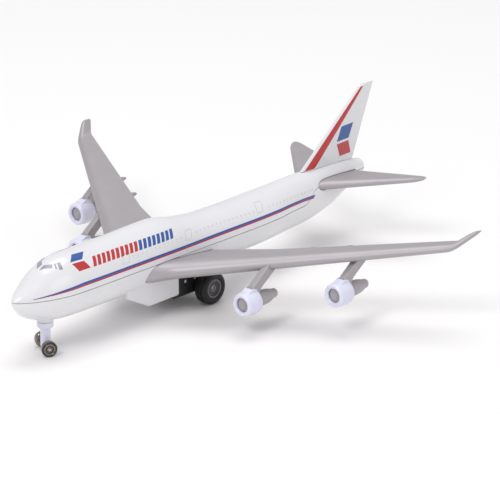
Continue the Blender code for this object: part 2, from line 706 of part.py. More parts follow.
def screw(name, sizes, length, seat, axis, steel):
    """A pan-head screw whose head rests on the seat and whose shank runs along the axis, or back along it.

    The sizes are the head's radius and height and the shank's radius. A negative length runs back.
    """
    head_radius, head_height, shank_radius = sizes
    way = math.copysign(1, length)
    profile = (
        (-way * head_height, head_radius * 0.7),
        (-way * head_height * 0.55, head_radius),
        (0, head_radius),
        (0, shank_radius),
        (length - way * shank_radius * 1.6, shank_radius),
        (length, shank_radius * 0.25),
    )
    made = turned(name, profile, axis, 12, seat, finish=steel)
    shallow, deep = sorted((-1.3 * way * head_height, -0.45 * way * head_height))
    narrow = head_radius * 0.2
    wide = head_radius * 0.62
    for k, (a, b) in enumerate(((narrow, wide), (wide, narrow))):
        if axis == "X":
            low, high = Vector((shallow, -a, -b)), Vector((deep, a, b))
        else:
            low, high = Vector((-a, -b, shallow)), Vector((a, b, deep))
        cut(made, block(f"{name}_slot_{k}", low + Vector(seat), high + Vector(seat)))
    return made


def body_screw_ys():
    return [NOSE_TIP_Y + place for place in BODY_SCREWS_FROM_NOSE]


def make_housing(lower):
    """The box under the wing that the motor sits in: a ramp and a flat floor ahead of it, and a step behind."""
    half = MOTOR_HALF_WIDTH + 2 * FIT_GAP
    ramp_y = HOUSING_FRONT_Y - HOUSING_RAMP
    well_y = MOTOR_FRONT_Y + MOTOR_IN_HOUSING
    roof_z = between(keel_z(HOUSING_FRONT_Y), SEAM_HEIGHT, 0.6)
    front_outline = (
        (ramp_y, keel_z(ramp_y) + WALL / 2),
        (HOUSING_FRONT_Y, HOUSING_FLOOR_Z),
        (well_y, HOUSING_FLOOR_Z),
        (well_y, roof_z),
        (ramp_y, roof_z),
    )
    front = prism("housing", front_outline, -half - WALL, half + WALL)
    bevel(front, HOUSING_EDGE, 2)
    rear_y = MOTOR_REAR_Y + FIT_GAP
    end_y = rear_y + WALL + HOUSING_REAR_RAMP
    rear_outline = (
        (rear_y - WALL / 2, HOUSING_FLOOR_Z),
        (rear_y + WALL, HOUSING_FLOOR_Z),
        (end_y, keel_z(rear_y) + WALL / 2),
        (end_y, keel_z(rear_y) + 2 * WALL),
        (rear_y - WALL / 2, keel_z(rear_y) + 2 * WALL),
    )
    join(lower, front, prism("housing_rear", rear_outline, -MOTOR_HALF_WIDTH, MOTOR_HALF_WIDTH))
    inside_y = MOTOR_FRONT_Y + 1 * MM
    inside_outline = (
        (HOUSING_FRONT_Y - 3 * MM, keel_z(HOUSING_FRONT_Y) + WALL),
        (HOUSING_FRONT_Y + HOUSING_EDGE, HOUSING_FLOOR_Z + WALL),
        (inside_y, HOUSING_FLOOR_Z + WALL),
        (inside_y, roof_z),
        (HOUSING_FRONT_Y - 3 * MM, roof_z),
    )
    cut(lower, bpy.data.objects["cavity"], prism("housing_inside", inside_outline, -half, half))
    low = (-half, MOTOR_FRONT_Y - FIT_GAP, 0)
    high = (half, rear_y, MOTOR_TOP_Z + 1 * MM)
    cut(lower, block("motor_opening", low, high))


def make_body(white):
    """The two halves of the body, cut from one loft along the seam."""
    upper = body_loft("fuselage_upper", finish=white)
    lower = body_loft("fuselage_lower", finish=white)
    cavity = cavity_loft("cavity")
    make_housing(lower)
    cut(upper, cavity)

    hole = BODY_SCREW_RADIUS + RUN_GAP
    for k, y in enumerate(body_screw_ys()):
        at = (0, y, 0)
        seat_z = keel_z(y) + BODY_SCREW_SINK
        post = BODY_SCREW_RADIUS + SCREW_POST_WALL
        boss = BODY_SCREW_RADIUS + SCREW_BOSS_WALL
        join(lower, rod(f"post_{k}", keel_z(y) + WALL / 2, SEAM_HEIGHT, post, "Z", 16, at))
        join(upper, rod(f"boss_{k}", SEAM_HEIGHT, top_z(y) - WALL / 2, boss, "Z", 16, at))
        cut(lower, rod(f"counterbore_{k}", 0, seat_z, BODY_SCREW_HEAD + FIT_GAP, "Z", 16, at))
        cut(lower, rod(f"clear_{k}", 0, SEAM_HEIGHT + SEAM_GAP, hole, "Z", 12, at))
        cut(upper, rod(f"pilot_{k}", 0, SEAM_HEIGHT + BODY_SCREW_BITE + FIT_GAP, hole, "Z", 12, at))

    leg_at = (0, LEG_Y, 0)
    pad_z = leg_pad_z()
    boss_profile = (
        (pad_z, COLLAR_RADIUS),
        (pad_z + 1.5 * MM, COLLAR_RADIUS),
        (pad_z + 2.2 * MM, LEG_BOSS_RADIUS),
        (leg_boss_top(), LEG_BOSS_RADIUS),
    )
    join(lower, turned("leg_boss", boss_profile, "Z", 18, leg_at))
    cut(lower, rod("leg_hole", 0, leg_boss_top() + WALL, LEG_PEG_RADIUS + RUN_GAP, "Z", 16, leg_at))

    cut(upper, seam_cutter("below_seam", -1))
    cut(lower, seam_cutter("above_seam", 1))
    for half in (upper, lower):
        cut(half, bpy.data.objects["wing_clearance"], bpy.data.objects["stab_clearance"])
    return upper


def make_body_screws(steel):
    sizes = (BODY_SCREW_HEAD, BODY_SCREW_HEAD_HEIGHT, BODY_SCREW_RADIUS)
    for name, y in zip(("body_screw_front", "body_screw_rear"), body_screw_ys()):
        seat_z = keel_z(y) + BODY_SCREW_SINK - RUN_GAP
        screw(name, sizes, SEAM_HEIGHT + BODY_SCREW_BITE - seat_z, (0, y, seat_z), "Z", steel)


# ---------------------------------------------------------------- pieces: running gear
def leg_pad_z():
    return keel_z(LEG_Y) - LEG_PAD_DEPTH


def leg_boss_top():
    return leg_pad_z() + LEG_BOSS_HEIGHT


def make_nose_gear(white, chrome, steel):
    """The leg, its wheels, pin and screw, on an empty that turns them about the leg's axis."""
    turn = bpy.data.objects.new("nose_leg_axis", None)
    bpy.context.scene.collection.objects.link(turn)
    turn.location = (0, LEG_Y, 0)
    turn.rotation_euler = (0, 0, LEG_YAW)

    axle_at = (0, 0, NOSE_WHEEL_RADIUS)
    hole = NOSE_AXLE_RADIUS + RUN_GAP
    edge = 0.5 * MM
    collar_top = leg_pad_z() - FIT_GAP
    collar_low = collar_top - COLLAR_HEIGHT
    peg_top = leg_boss_top() + FIT_GAP
    leg_profile = (
        (NOSE_WHEEL_RADIUS - STRUT_RADIUS * 0.9, STRUT_RADIUS * 0.6),
        (NOSE_WHEEL_RADIUS - STRUT_RADIUS * 0.45, STRUT_RADIUS),
        (collar_low - edge, STRUT_RADIUS),
        (collar_low, STRUT_RADIUS + edge),
        (collar_low, COLLAR_RADIUS - edge),
        (collar_low + edge, COLLAR_RADIUS),
        (collar_top, COLLAR_RADIUS),
        (collar_top, LEG_PEG_RADIUS),
        (peg_top, LEG_PEG_RADIUS),
    )
    leg = turned("nose_leg", leg_profile, "Z", 20, finish=white)
    cut(leg, rod("leg_axle_hole", -2 * STRUT_RADIUS, 2 * STRUT_RADIUS, hole, "X", 12, axle_at))
    pilot = LEG_SCREW_RADIUS + RUN_GAP
    cut(leg, rod("leg_screw_hole", peg_top - LEG_SCREW_LENGTH - FIT_GAP, peg_top + WALL, pilot, "Z", 12))
    screw_sizes = (LEG_SCREW_HEAD, 1.0 * MM, LEG_SCREW_RADIUS)
    retainer = screw("nose_leg_screw", screw_sizes, -LEG_SCREW_LENGTH, (0, 0, peg_top + FIT_GAP), "Z", steel)

    face = NOSE_WHEEL_FACE_X
    back = NOSE_WHEEL_INNER_X
    radius = NOSE_WHEEL_RADIUS
    pieces = [leg, retainer, pin("nose_axle", face + 0.3 * MM, NOSE_AXLE_RADIUS, 12, axle_at, steel)]
    for name, side in (("left", 1), ("right", -1)):
        profile = [(side * x, r) for x, r in (
            (back, hole),
            (back, radius * 0.86),
            (back + edge, radius),
            (face - edge, radius),
            (face, radius * 0.9),
            (face, radius * 0.72),
            (face - edge, radius * 0.66),
            (face - edge, radius * 0.42),
            (face - 0.1 * MM, radius * 0.36),
            (face - 0.1 * MM, hole),
        )]
        pieces.append(turned(f"nose_wheel_{name}", profile, "X", 20, axle_at, True, chrome))
    for piece in pieces:
        piece.parent = turn
        for modifier in piece.modifiers:
            modifier.object.parent = turn


def make_main_wheels(rubber, grey, steel):
    face = TYRE_FACE_X
    back = TYRE_BACK_X
    hub_face = face - 0.4 * MM
    pin("main_axle", face - 1.6 * MM, AXLE_RADIUS, 12, AXLE, steel)
    bore = AXLE_RADIUS + RUN_GAP
    seat = HUB_RADIUS + RUN_GAP
    groove = back + TYRE_GROOVE_PLACE
    for name, side in (("left", 1), ("right", -1)):
        tyre = [(side * x, r) for x, r in (
            (back, seat),
            (back, WHEEL_RADIUS * 0.87),
            (back + 0.8 * MM, WHEEL_RADIUS),
            (groove - TYRE_GROOVE, WHEEL_RADIUS),
            (groove, WHEEL_RADIUS - TYRE_GROOVE),
            (groove + TYRE_GROOVE, WHEEL_RADIUS),
            (face - 0.8 * MM, WHEEL_RADIUS),
            (face, WHEEL_RADIUS * 0.87),
            (face, HUB_RADIUS + 0.6 * MM),
            (face - 0.3 * MM, seat),
        )]
        turned(f"tyre_{name}", tyre, "X", 28, AXLE, True, rubber)
        hub = [(side * x, r) for x, r in (
            (back + 0.2 * MM, bore),
            (back + 0.2 * MM, HUB_RADIUS),
            (hub_face, HUB_RADIUS),
            (hub_face, HUB_RADIUS * 0.86),
            (hub_face - 1.1 * MM, HUB_RADIUS * 0.74),
            (hub_face - 1.5 * MM, HUB_RADIUS * 0.42),
            (hub_face - 0.7 * MM, HUB_RADIUS * 0.36),
            (hub_face - 0.7 * MM, bore),
        )]
        turned(f"hub_{name}", hub, "X", 20, AXLE, True, grey)


# ---------------------------------------------------------------- pieces: motor
def gear(name, teeth, span, centre, turn=0.0, finish=None):
    """A spur gear about X with straight-sided teeth that are thinner than their gaps."""
    step = 2 * math.pi / teeth
    root = root_radius(teeth)
    tip = tip_radius(teeth)
    outline = []
    for k in range(teeth):
        for share, radius in ((-0.27, root), (-0.12, tip), (0.12, tip), (0.27, root)):
            angle = turn + (k + share) * step
            outline.append((centre.y + radius * math.cos(angle), centre.z + radius * math.sin(angle)))
    return prism(name, outline, *span, finish)


def make_gears(nylon):
    """The train from the axle to the spring. In mesh, a tooth of one gear faces a gap of the other."""
    to_idler = math.atan2(IDLER.z - AXLE.z, IDLER.y - AXLE.y)
    axle_gear = gear("axle_gear", PINION_TEETH, AXLE_GEAR_SPAN, AXLE, to_idler, nylon)
    bore = AXLE_RADIUS + RUN_GAP / 2
    cut(axle_gear, rod("axle_gear_bore", -MOTOR_HALF_WIDTH, MOTOR_HALF_WIDTH, bore, "X", 12, AXLE))

    shaft_half = MOTOR_HALF_WIDTH - MOTOR_WALL / 4
    half_tooth = math.pi / IDLER_TEETH
    idler = gear("idler_gear", IDLER_TEETH, IDLER_SPAN, IDLER, to_idler + math.pi + half_tooth, nylon)
    pinion_span = (SPRING_GEAR_SPAN[0] - PINION_OVERLAP, IDLER_SPAN[0] + PINION_OVERLAP)
    pinion = gear("idler_pinion", PINION_TEETH, pinion_span, IDLER, math.pi)
    join(idler, pinion, rod("idler_shaft", -shaft_half, shaft_half, GEAR_SHAFT_RADIUS, "X", 12, IDLER))

    spring_gear = gear("spring_gear", SPRING_TEETH, SPRING_GEAR_SPAN, SPRING, math.pi / SPRING_TEETH, nylon)
    arbor_radius = GEAR_SHAFT_RADIUS + ARBOR_WALL
    arbor_start = -MOTOR_INNER_X + FIT_GAP
    arbor = rod("arbor", arbor_start, SPRING_GEAR_SPAN[0] + PINION_OVERLAP, arbor_radius, "X", 12, SPRING)
    shaft = rod("spring_shaft", -shaft_half, shaft_half, GEAR_SHAFT_RADIUS, "X", 12, SPRING)
    join(spring_gear, arbor, shaft)


def make_mainspring(spring_steel):
    """The wound strip beside the spring gear."""
    first = GEAR_SHAFT_RADIUS + ARBOR_WALL + FIT_GAP
    last = pitch_radius(SPRING_TEETH) - SPRING_STRIP
    start_x = -MOTOR_INNER_X + SPRING_SIDE_ROOM
    end_x = SPRING_GEAR_SPAN[0] - SPRING_TO_GEAR
    steps = SPRING_TURNS * 16
    rings = []
    for k in range(steps + 1):
        angle = 2 * math.pi * SPRING_TURNS * k / steps
        inner = between(first, last, k / steps)
        outer = inner + SPRING_STRIP
        ring = []
        for x, reach in ((start_x, inner), (end_x, inner), (end_x, outer), (start_x, outer)):
            ring.append(SPRING + Vector((x, reach * math.cos(angle), reach * math.sin(angle))))
        rings.append(ring)
    skin("mainspring", rings, finish=spring_steel)


def motor_screw_places():
    """(y, z) of the two screws, in opposite corners of the case."""
    inset = MOTOR_PILLAR_RADIUS - FIT_GAP
    front = (MOTOR_FRONT_Y + MOTOR_WALL + inset, MOTOR_BOTTOM_Z + MOTOR_WALL + inset)
    rear = (MOTOR_REAR_Y - MOTOR_WALL - inset, MOTOR_TOP_Z - MOTOR_WALL - inset)
    return front, rear


def make_motor_case(name, side, black):
    """One half of the case. The left half has the screw heads' sinks, the right half the threads."""
    def span(low, high):
        return sorted((side * low, side * high))

    def box(title, xs, low, high):
        return block(f"{title}_{name}", (xs[0], *low), (xs[1], *high))

    past = MOTOR_HALF_WIDTH + 1 * MM
    outer = span(SEAM_GAP / 2, MOTOR_HALF_WIDTH)
    case = box("motor_case", outer, (MOTOR_FRONT_Y, MOTOR_BOTTOM_Z), (MOTOR_REAR_Y, MOTOR_TOP_Z))
    case.data.materials.append(black)
    low = (MOTOR_FRONT_Y + MOTOR_WALL, MOTOR_BOTTOM_Z + MOTOR_WALL)
    high = (MOTOR_REAR_Y - MOTOR_WALL, MOTOR_TOP_Z - MOTOR_WALL)
    cut(case, box("motor_hollow", span(-1 * MM, MOTOR_INNER_X), low, high))
    flange_z = HOUSING_FLOOR_Z + WALL + FIT_GAP
    low = (MOTOR_FRONT_Y - MOTOR_FLANGE, flange_z)
    high = (MOTOR_FRONT_Y + MOTOR_WALL / 2, flange_z + MOTOR_FLANGE_THICKNESS)
    join(case, box("motor_flange", span(SEAM_GAP / 2, MOTOR_HALF_WIDTH - MOTOR_WALL / 2), low, high))

    pillar = span(SEAM_GAP / 2, MOTOR_INNER_X + MOTOR_WALL / 2)
    for k, (y, z) in enumerate(motor_screw_places()):
        join(case, rod(f"pillar_{name}_{k}", *pillar, MOTOR_PILLAR_RADIUS, "X", 12, (0, y, z)))
    for k, (y, z) in enumerate(motor_screw_places()):
        at = (0, y, z)
        end = past if side > 0 else MOTOR_HALF_WIDTH - MOTOR_SCREW_SINK
        hole = MOTOR_SCREW_RADIUS + RUN_GAP
        cut(case, rod(f"screw_hole_{name}_{k}", *span(-1 * MM, end), hole, "X", 10, at))
        if side > 0:
            sink = MOTOR_SCREW_HEAD + RUN_GAP
            cut(case, rod(f"screw_sink_{k}", MOTOR_HALF_WIDTH - MOTOR_SCREW_SINK, past, sink, "X", 12, at))

    through = span(-1 * MM, past)
    cut(case, rod(f"axle_hole_{name}", *through, AXLE_RADIUS + RUN_GAP, "X", 12, AXLE))
    for shaft_name, place in (("idler", IDLER), ("spring", SPRING)):
        cut(case, rod(f"{shaft_name}_hole_{name}", *through, GEAR_SHAFT_RADIUS + RUN_GAP, "X", 12, place))
    reach = tip_radius(PINION_TEETH) + FIT_GAP
    slot = (AXLE_GEAR_SPAN[0] - FIT_GAP, AXLE_GEAR_SPAN[1] + FIT_GAP)
    low = (AXLE.y - reach, MOTOR_BOTTOM_Z - 1 * MM)
    high = (AXLE.y + reach, MOTOR_BOTTOM_Z + 1.5 * MOTOR_WALL)
    cut(case, box("pinion_slot", slot, low, high))


def make_motor(black, nylon, steel, spring_steel):
    make_gears(nylon)
    make_mainspring(spring_steel)
    for name, side in (("left", 1), ("right", -1)):
        make_motor_case(name, side, black)
    sizes = (MOTOR_SCREW_HEAD, MOTOR_SCREW_HEAD_HEIGHT, MOTOR_SCREW_RADIUS)
    seat_x = MOTOR_HALF_WIDTH - MOTOR_SCREW_SINK + RUN_GAP
    for name, (y, z) in zip(("motor_screw_front", "motor_screw_rear"), motor_screw_places()):
        screw(name, sizes, -MOTOR_SCREW_LENGTH, (seat_x, y, z), "X", steel)


# ---------------------------------------------------------------- the assembly
def main():
    clear_scene()
    white = material("white_plastic", (0.86, 0.86, 0.88), 0.22)
    cowl_white = material("cowl_plastic", (0.72, 0.72, 0.86), 0.3)
    silver = material("silver_plastic", (0.42, 0.40, 0.41), 0.38, 0.35)
    rubber = material("tyre_rubber", (0.015, 0.014, 0.014), 0.6)
    grey = material("hub_plastic", (0.17, 0.16, 0.17), 0.45)
    black = material("motor_plastic", (0.02, 0.02, 0.02), 0.4)
    nylon = material("gear_nylon", (0.75, 0.73, 0.66), 0.45)
    chrome = material("dark_chrome", (0.16, 0.14, 0.13), 0.25, 0.9)
    steel = material("steel", (0.55, 0.55, 0.56), 0.3, 1.0)
    spring_steel = material("spring_steel", (0.30, 0.32, 0.38), 0.3, 1.0)

    make_helper(both_sides("wing_clearance", wing_rings(FIT_GAP)))
    make_helper(both_sides("stab_clearance", stab_rings(FIT_GAP)))
    wing = make_wing(silver)
    both_sides("stabilizer", stab_rings(), silver)
    for name, place in engine_places():
        make_engine(name, place, wing, silver, cowl_white)
    cut(make_body(white), make_fin(white))
    make_body_screws(steel)
    make_nose_gear(cowl_white, chrome, steel)
    make_main_wheels(rubber, grey, steel)
    make_motor(black, nylon, steel, spring_steel)


main()
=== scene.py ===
"""The toy airliner's looks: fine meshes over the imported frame, livery, materials, light and camera.

Metres, +Z up. The nose points along -Y, the left wing along +X, and the floor is z = 0.
"""

import math

import bmesh
import bpy
from mathutils import Matrix, Vector


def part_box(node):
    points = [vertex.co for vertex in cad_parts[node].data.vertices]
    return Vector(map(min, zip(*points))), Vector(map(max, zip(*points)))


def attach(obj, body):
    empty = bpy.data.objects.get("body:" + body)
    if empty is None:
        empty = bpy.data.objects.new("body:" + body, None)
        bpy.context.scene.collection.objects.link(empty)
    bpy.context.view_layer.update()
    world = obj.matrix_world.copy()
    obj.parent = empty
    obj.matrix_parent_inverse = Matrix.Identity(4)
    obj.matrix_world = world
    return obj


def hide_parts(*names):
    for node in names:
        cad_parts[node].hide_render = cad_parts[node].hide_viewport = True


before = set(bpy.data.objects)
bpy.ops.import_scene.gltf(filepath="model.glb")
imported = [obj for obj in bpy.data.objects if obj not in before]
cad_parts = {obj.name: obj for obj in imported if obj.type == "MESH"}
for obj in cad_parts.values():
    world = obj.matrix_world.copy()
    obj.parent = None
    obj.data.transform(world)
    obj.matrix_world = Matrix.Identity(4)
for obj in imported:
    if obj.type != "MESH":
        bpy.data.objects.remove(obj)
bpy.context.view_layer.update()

MM = 0.001
UP = Vector((0, 0, 1))


def box_middle(node):
    low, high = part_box(node)
    return (low + high) / 2


# ---------------------------------------------------------------- sizes, from the frame where it has them
FIT_GAP = 0.25 * MM
RUN_GAP = 0.09 * MM  # between a pin, tab or peg and its hole
WING_ROOM = 0.15 * MM
SEAM_GAP = 0.25 * MM
SEAM_CHAMFER = 0.14 * MM

NOSE_TIP_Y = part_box("fuselage_upper")[0].y
TAIL_END_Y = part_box("fuselage_upper")[1].y
BODY_LENGTH = TAIL_END_Y - NOSE_TIP_Y
SEAM_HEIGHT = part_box("fuselage_upper")[0].z + SEAM_GAP / 2
BODY_HALF_WIDTH = 12.5 * MM
DECK_HEIGHT = 14.9 * MM
BODY_DEPTH = 13.0 * MM
WALL = 1.4 * MM

WING_ROOT_X = 11.5 * MM
WING_BEND_X = 109.6 * MM
WING_KINK_X = 40.9 * MM
WING_ROOT_CHORD = 36.2 * MM
WING_KINK_CHORD = 24.6 * MM
WING_BEND_CHORD = 8.6 * MM
WING_ROOT_THICKNESS = 8.0 * MM
WING_TIP_THICKNESS = 2.8 * MM
WING_THINNING = 0.8  # below 1, the thickness falls fastest at the root
WING_SWEEP = 0.775
WING_RISE = 0.150
WING_GLOVE = 4.2 * MM
WING_GLOVE_SPAN = 8 * MM
WING_ROOT_TWIST = 1.2 * MM
WING_BEND_TWIST = 1.9 * MM
WING_ROOT_LEAD = Vector((0, NOSE_TIP_Y + 68.45 * MM, SEAM_HEIGHT - 4.2 * MM))
WINGLET_SPAN = Vector((6.3, 9.1, 6.6)) * MM
WINGLET_TIP_CHORD = 5.6 * MM
WINGLET_START = 0.25  # of its span, where the bend has ended
WINGLET_ROUND_FROM = 0.85
WING_SPLITS = (8, 5, 12)  # stations over the glove, to the kink and to the bend
BEND_STEPS = 6
FAIRING_XS = (27 * MM, 53.3 * MM, 67.4 * MM)
FAIRING_LENGTH = 11 * MM
FAIRING_PAST_EDGE = 3.4 * MM
FAIRING_RADIUS = 1.25 * MM
FAIRING_BELOW_EDGE = 0.75 * MM

STAB_OVER_SEAM = 5.3 * MM
STAB_BEFORE_END = 37.5 * MM
STAB_ROUND_FROM = 0.9  # of its span
STAB_ROOT_LEAD = Vector((0, TAIL_END_Y - STAB_BEFORE_END, SEAM_HEIGHT + STAB_OVER_SEAM))
STAB_ROOT_X = 6.0 * MM
STAB_TIP_X = 39.2 * MM
STAB_ROOT_CHORD = 29.4 * MM
STAB_TIP_CHORD = 5.2 * MM
STAB_SWEEP = 1.0
STAB_RISE = 0.075
STAB_ROOT_THICKNESS = 4.6 * MM
STAB_TIP_THICKNESS = 1.8 * MM
SEAM_CLIMB = 11 * MM

FIN_TIP_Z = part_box("tail_fin")[1].z
FIN_TIP_BACK_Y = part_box("tail_fin")[1].y
FIN_TIP_CHORD = 9.55 * MM
FIN_TIP_FRONT_Y = FIN_TIP_BACK_Y - FIN_TIP_CHORD
FIN_BASE_FRONT_Y = TAIL_END_Y - 42.1 * MM
FIN_BASE_BACK_Y = TAIL_END_Y - 5.9 * MM
FIN_ROUND_HEIGHT = 0.8 * MM
FIN_ROUND_CORNER = 1.2 * MM
FIN_BELOW_CROWN = 3 * MM
FIN_ROOT_THICKNESS = 3.0 * MM
FIN_TIP_THICKNESS = 1.8 * MM
FIN_TAB = Vector((1.6, 16, 0)) * MM

COWL_RADIUS = 5.15 * MM
COWL_LENGTH = 8.4 * MM
COWL_LIP = 0.25 * MM
INTAKE_RADIUS = 3.05 * MM
INTAKE_DEPTH = 1.5 * MM
CORE_RADIUS = 3.3 * MM
CORE_END = 18.2 * MM
NOZZLE_END = 21.8 * MM
NOZZLE_RADIUS = 2.1 * MM
NOZZLE_LENGTH_STEP = 0.3 * MM
SPINNER_DEPTH = 1.1 * MM  # of the dish in the core's face
COWL_BULGE = 0.2 * MM
PYLON_HALF = 1.6 * MM
PYLON_EDGE = 0.5 * MM
SADDLE_WALL = 0.5 * MM
SADDLE_EDGE = 0.35 * MM
# Side outlines of an engine's parts, in millimetres back and up from the middle of its rim
PYLON_OUTLINE = (
    (4.6, 1.5), (5.7, 6.5), (12.9, 11.6), (16.5, 15.0), (22.5, 14.5), (19.9, 11.0), (10.8, 4.9), (10.6, 1.5),
)
SLOT_OUTLINE = ((4.35, 0), (4.35, 3.5), (5.4, 6.5), (9, 10), (20, 10), (20, 0))

AXLE = box_middle("main_axle")
WHEEL_RADIUS = AXLE.z
TYRE_BACK_X, TYRE_FACE_X = (corner.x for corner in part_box("tyre_left"))
GROOVE_FROM_BACK = 4.0 * MM
GROOVE_DEPTH = 0.5 * MM
HUB_RADIUS = 4.2 * MM
HUB_BORE = 0.84 * MM
LEG_Y = box_middle("nose_leg").y
LEG_YAW = math.radians(-30)
NOSE_WHEEL_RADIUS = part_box("nose_wheel_left")[1].z / 2
NOSE_WHEEL_INNER_X = 4.3 * MM
NOSE_WHEEL_FACE_X = 7.2 * MM
NOSE_AXLE_RADIUS = 0.6 * MM
STRUT_RADIUS = 2.15 * MM
COLLAR_RADIUS = 3.45 * MM
COLLAR_HEIGHT = 2.8 * MM
LEG_PEG_RADIUS = 1.5 * MM

MOTOR_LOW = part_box("motor_case_right")[0]
MOTOR_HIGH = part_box("motor_case_left")[1]
MOTOR_HALF_WIDTH = MOTOR_HIGH.x
MOTOR_FLANGE = 1.6 * MM
MOTOR_FRONT_Y = MOTOR_LOW.y + MOTOR_FLANGE
HOUSING_FLOOR_Z = MOTOR_LOW.z + 1.7 * MM
HOUSING_FRONT_Y = MOTOR_FRONT_Y - 16.4 * MM
HOUSING_RAMP = 13 * MM
HOUSING_REAR_RAMP = 4 * MM
HOUSING_EDGE = 1.2 * MM
BODY_SCREWS_FROM_NOSE = (41 * MM, 151 * MM)
BODY_SCREW_RADIUS = 1.0 * MM
BODY_SCREW_HEAD = 2.1 * MM
BODY_SCREW_SINK = 5.2 * MM
POST_WALL = 2.3 * MM
BOSS_WALL = 1.7 * MM
PILOT_DEPTH = 7.25 * MM
LEG_PAD = 0.3 * MM  # of the leg's seat below the keel
LEG_BOSS_RADIUS = 3 * MM
LEG_BOSS_HEIGHT = 6.5 * MM

# Outlines of the body: (share of the length from the nose, share of the named size)
WIDTH_LINE = (
    (0, 0), (0.0055, 0.17), (0.02, 0.39), (0.037, 0.57), (0.065, 0.79), (0.107, 0.96),
    (0.157, 1.0), (0.606, 1.0), (0.687, 0.93), (0.727, 0.82), (0.778, 0.71), (0.828, 0.62),
    (0.919, 0.42), (1, 0.27),
)
TOP_LINE = (
    (0, 0), (0.0055, 0.12), (0.035, 0.39), (0.058, 0.64), (0.085, 0.82), (0.119, 0.94),
    (0.172, 0.95), (0.263, 0.97), (0.358, 1.0), (0.394, 0.96), (0.434, 0.84), (0.491, 0.725),
    (0.535, 0.695), (0.606, 0.69), (0.687, 0.73), (0.808, 0.805), (0.919, 0.75), (0.98, 0.66),
    (1, 0.61),
)
KEEL_LINE = (
    (0, 0), (0.0064, 0.26), (0.027, 0.61), (0.077, 0.91), (0.117, 0.98), (0.273, 1.0),
    (0.626, 0.98), (0.727, 0.925), (0.818, 0.84), (0.894, 0.58), (0.939, 0.27), (1, -0.12),
)
MIDDLE_LINE = (
    (0, 0), (0.15, -0.07), (0.606, -0.07), (0.687, -0.06), (0.818, 0.04), (0.894, 0.14),
    (0.939, 0.3), (1, 0.42),
)
NOSE_START = 0.0004
TAIL_ROUNDING_START = 0.991
TAIL_ROUNDING = 0.22  # of the section's size, lost by the tail end
CAVITY_SPAN = (0.028, 0.972)
SECTION_CROWN = 0.22  # where along the chord a section is thickest
SECTION_FALL = 1.35
EDGE_THICKNESS = 0.14

# Fineness
STATIONS = 150
AROUND = 88
STATION_CROWDING = 1.5  # above 1, stations lie closer together at the nose
TAIL_STEPS = 6
CAVITY_STATIONS = 40
CAVITY_POINTS = 40
WING_SIDE_POINTS = 24
FIN_SIDE_POINTS = 18
FIN_STATIONS = 24
STAB_STATIONS = 30
SMOOTH_ANGLE = 32
WELD = 0.001 * MM  # closer points are one
NEAR = 0.2 * MM  # the step by which a slope is found


# ---------------------------------------------------------------- mesh helpers
def between(low, high, share):
    return low + (high - low) * share


def curve_point(start, corner, end, t):
    """The point at t of a curve that leaves the start and meets the end in line with the corner."""
    return start * (1 - t) ** 2 + corner * 2 * t * (1 - t) + end * t * t


def add_object(name, data, finish=None):
    obj = bpy.data.objects.new(name, data)
    bpy.context.scene.collection.objects.link(obj)
    if finish:
        data.materials.append(finish)
    return obj


def shade(mesh):
    mesh.shade_smooth()
    mesh.set_sharp_from_angle(angle=math.radians(SMOOTH_ANGLE))


def mesh_of(name, bm, finish=None):
    bmesh.ops.recalc_face_normals(bm, faces=bm.faces)
    mesh = bpy.data.meshes.new(name)
    bm.to_mesh(mesh)
    bm.free()
    shade(mesh)
    return add_object(name, mesh, finish)


def strip(bm, one, two, closed):
    """Faces between two lines of vertices; closed lines join their ends."""
    for k in range(len(one) if closed else len(one) - 1):
        n = (k + 1) % len(one)
        bm.faces.new((one[k], one[n], two[n], two[k]))


def skin(name, rings, finish=None, loop=False, place=None):
    """A closed mesh over rings that have the same number of points. A loop of rings joins its ends."""
    bm = bmesh.new()
    rows = [[bm.verts.new(point) for point in ring] for ring in rings]
    pairs = list(zip(rows, rows[1:]))
    if loop:
        pairs.append((rows[-1], rows[0]))
    for low, high in pairs:
        strip(bm, low, high, True)
    if not loop:
        bm.faces.new(reversed(rows[0]))
        bm.faces.new(rows[-1])
    if place:
        bm.transform(place)
    return mesh_of(name, bm, finish)


def turned(name, profile, axis="X", sides=64, centre=(0, 0, 0), finish=None, loop=False, place=None):
    """A body turned about an axis through the centre. The profile is (place along the axis, radius)."""
    frames = {
        "X": (Vector((1, 0, 0)), Vector((0, 1, 0)), Vector((0, 0, 1))),
        "Y": (Vector((0, 1, 0)), Vector((0, 0, 1)), Vector((1, 0, 0))),
        "Z": (Vector((0, 0, 1)), Vector((1, 0, 0)), Vector((0, 1, 0))),
    }
    along, across, up = frames[axis]
    rings = []
    for start, radius in profile:
        ring = []
        for k in range(sides):
            angle = 2 * math.pi * k / sides
            spoke = across * math.cos(angle) + up * math.sin(angle)
            ring.append(Vector(centre) + along * start + spoke * radius)
        rings.append(ring)
    return skin(name, rings, finish, loop, place)


def rod(name, start, end, radius, axis="X", sides=32, centre=(0, 0, 0), place=None):
    return turned(name, ((start, radius), (end, radius)), axis, sides, centre, place=place)


def rounded(profile, radius, steps=4, loop=False):
    """The profile with its corners turned into arcs of this radius, or less where a side is short."""
    points = [Vector(point) for point in profile]
    count = len(points)
    made = []
    for k, corner in enumerate(points):
        if not loop and k in (0, count - 1):
            made.append(tuple(corner))
            continue
        before = points[k - 1] - corner
        after = points[(k + 1) % count] - corner
        reach = min(radius, before.length * 0.45, after.length * 0.45)
        start = corner + before.normalized() * reach
        end = corner + after.normalized() * reach
        for step in range(steps + 1):
            made.append(tuple(curve_point(start, corner, end, step / steps)))
    return made


def prism(name, outline, start, end, finish=None):
    """An outline of (y, z) points carried along X."""
    rings = [[Vector((x, y, z)) for y, z in outline] for x in (start, end)]
    return skin(name, rings, finish)


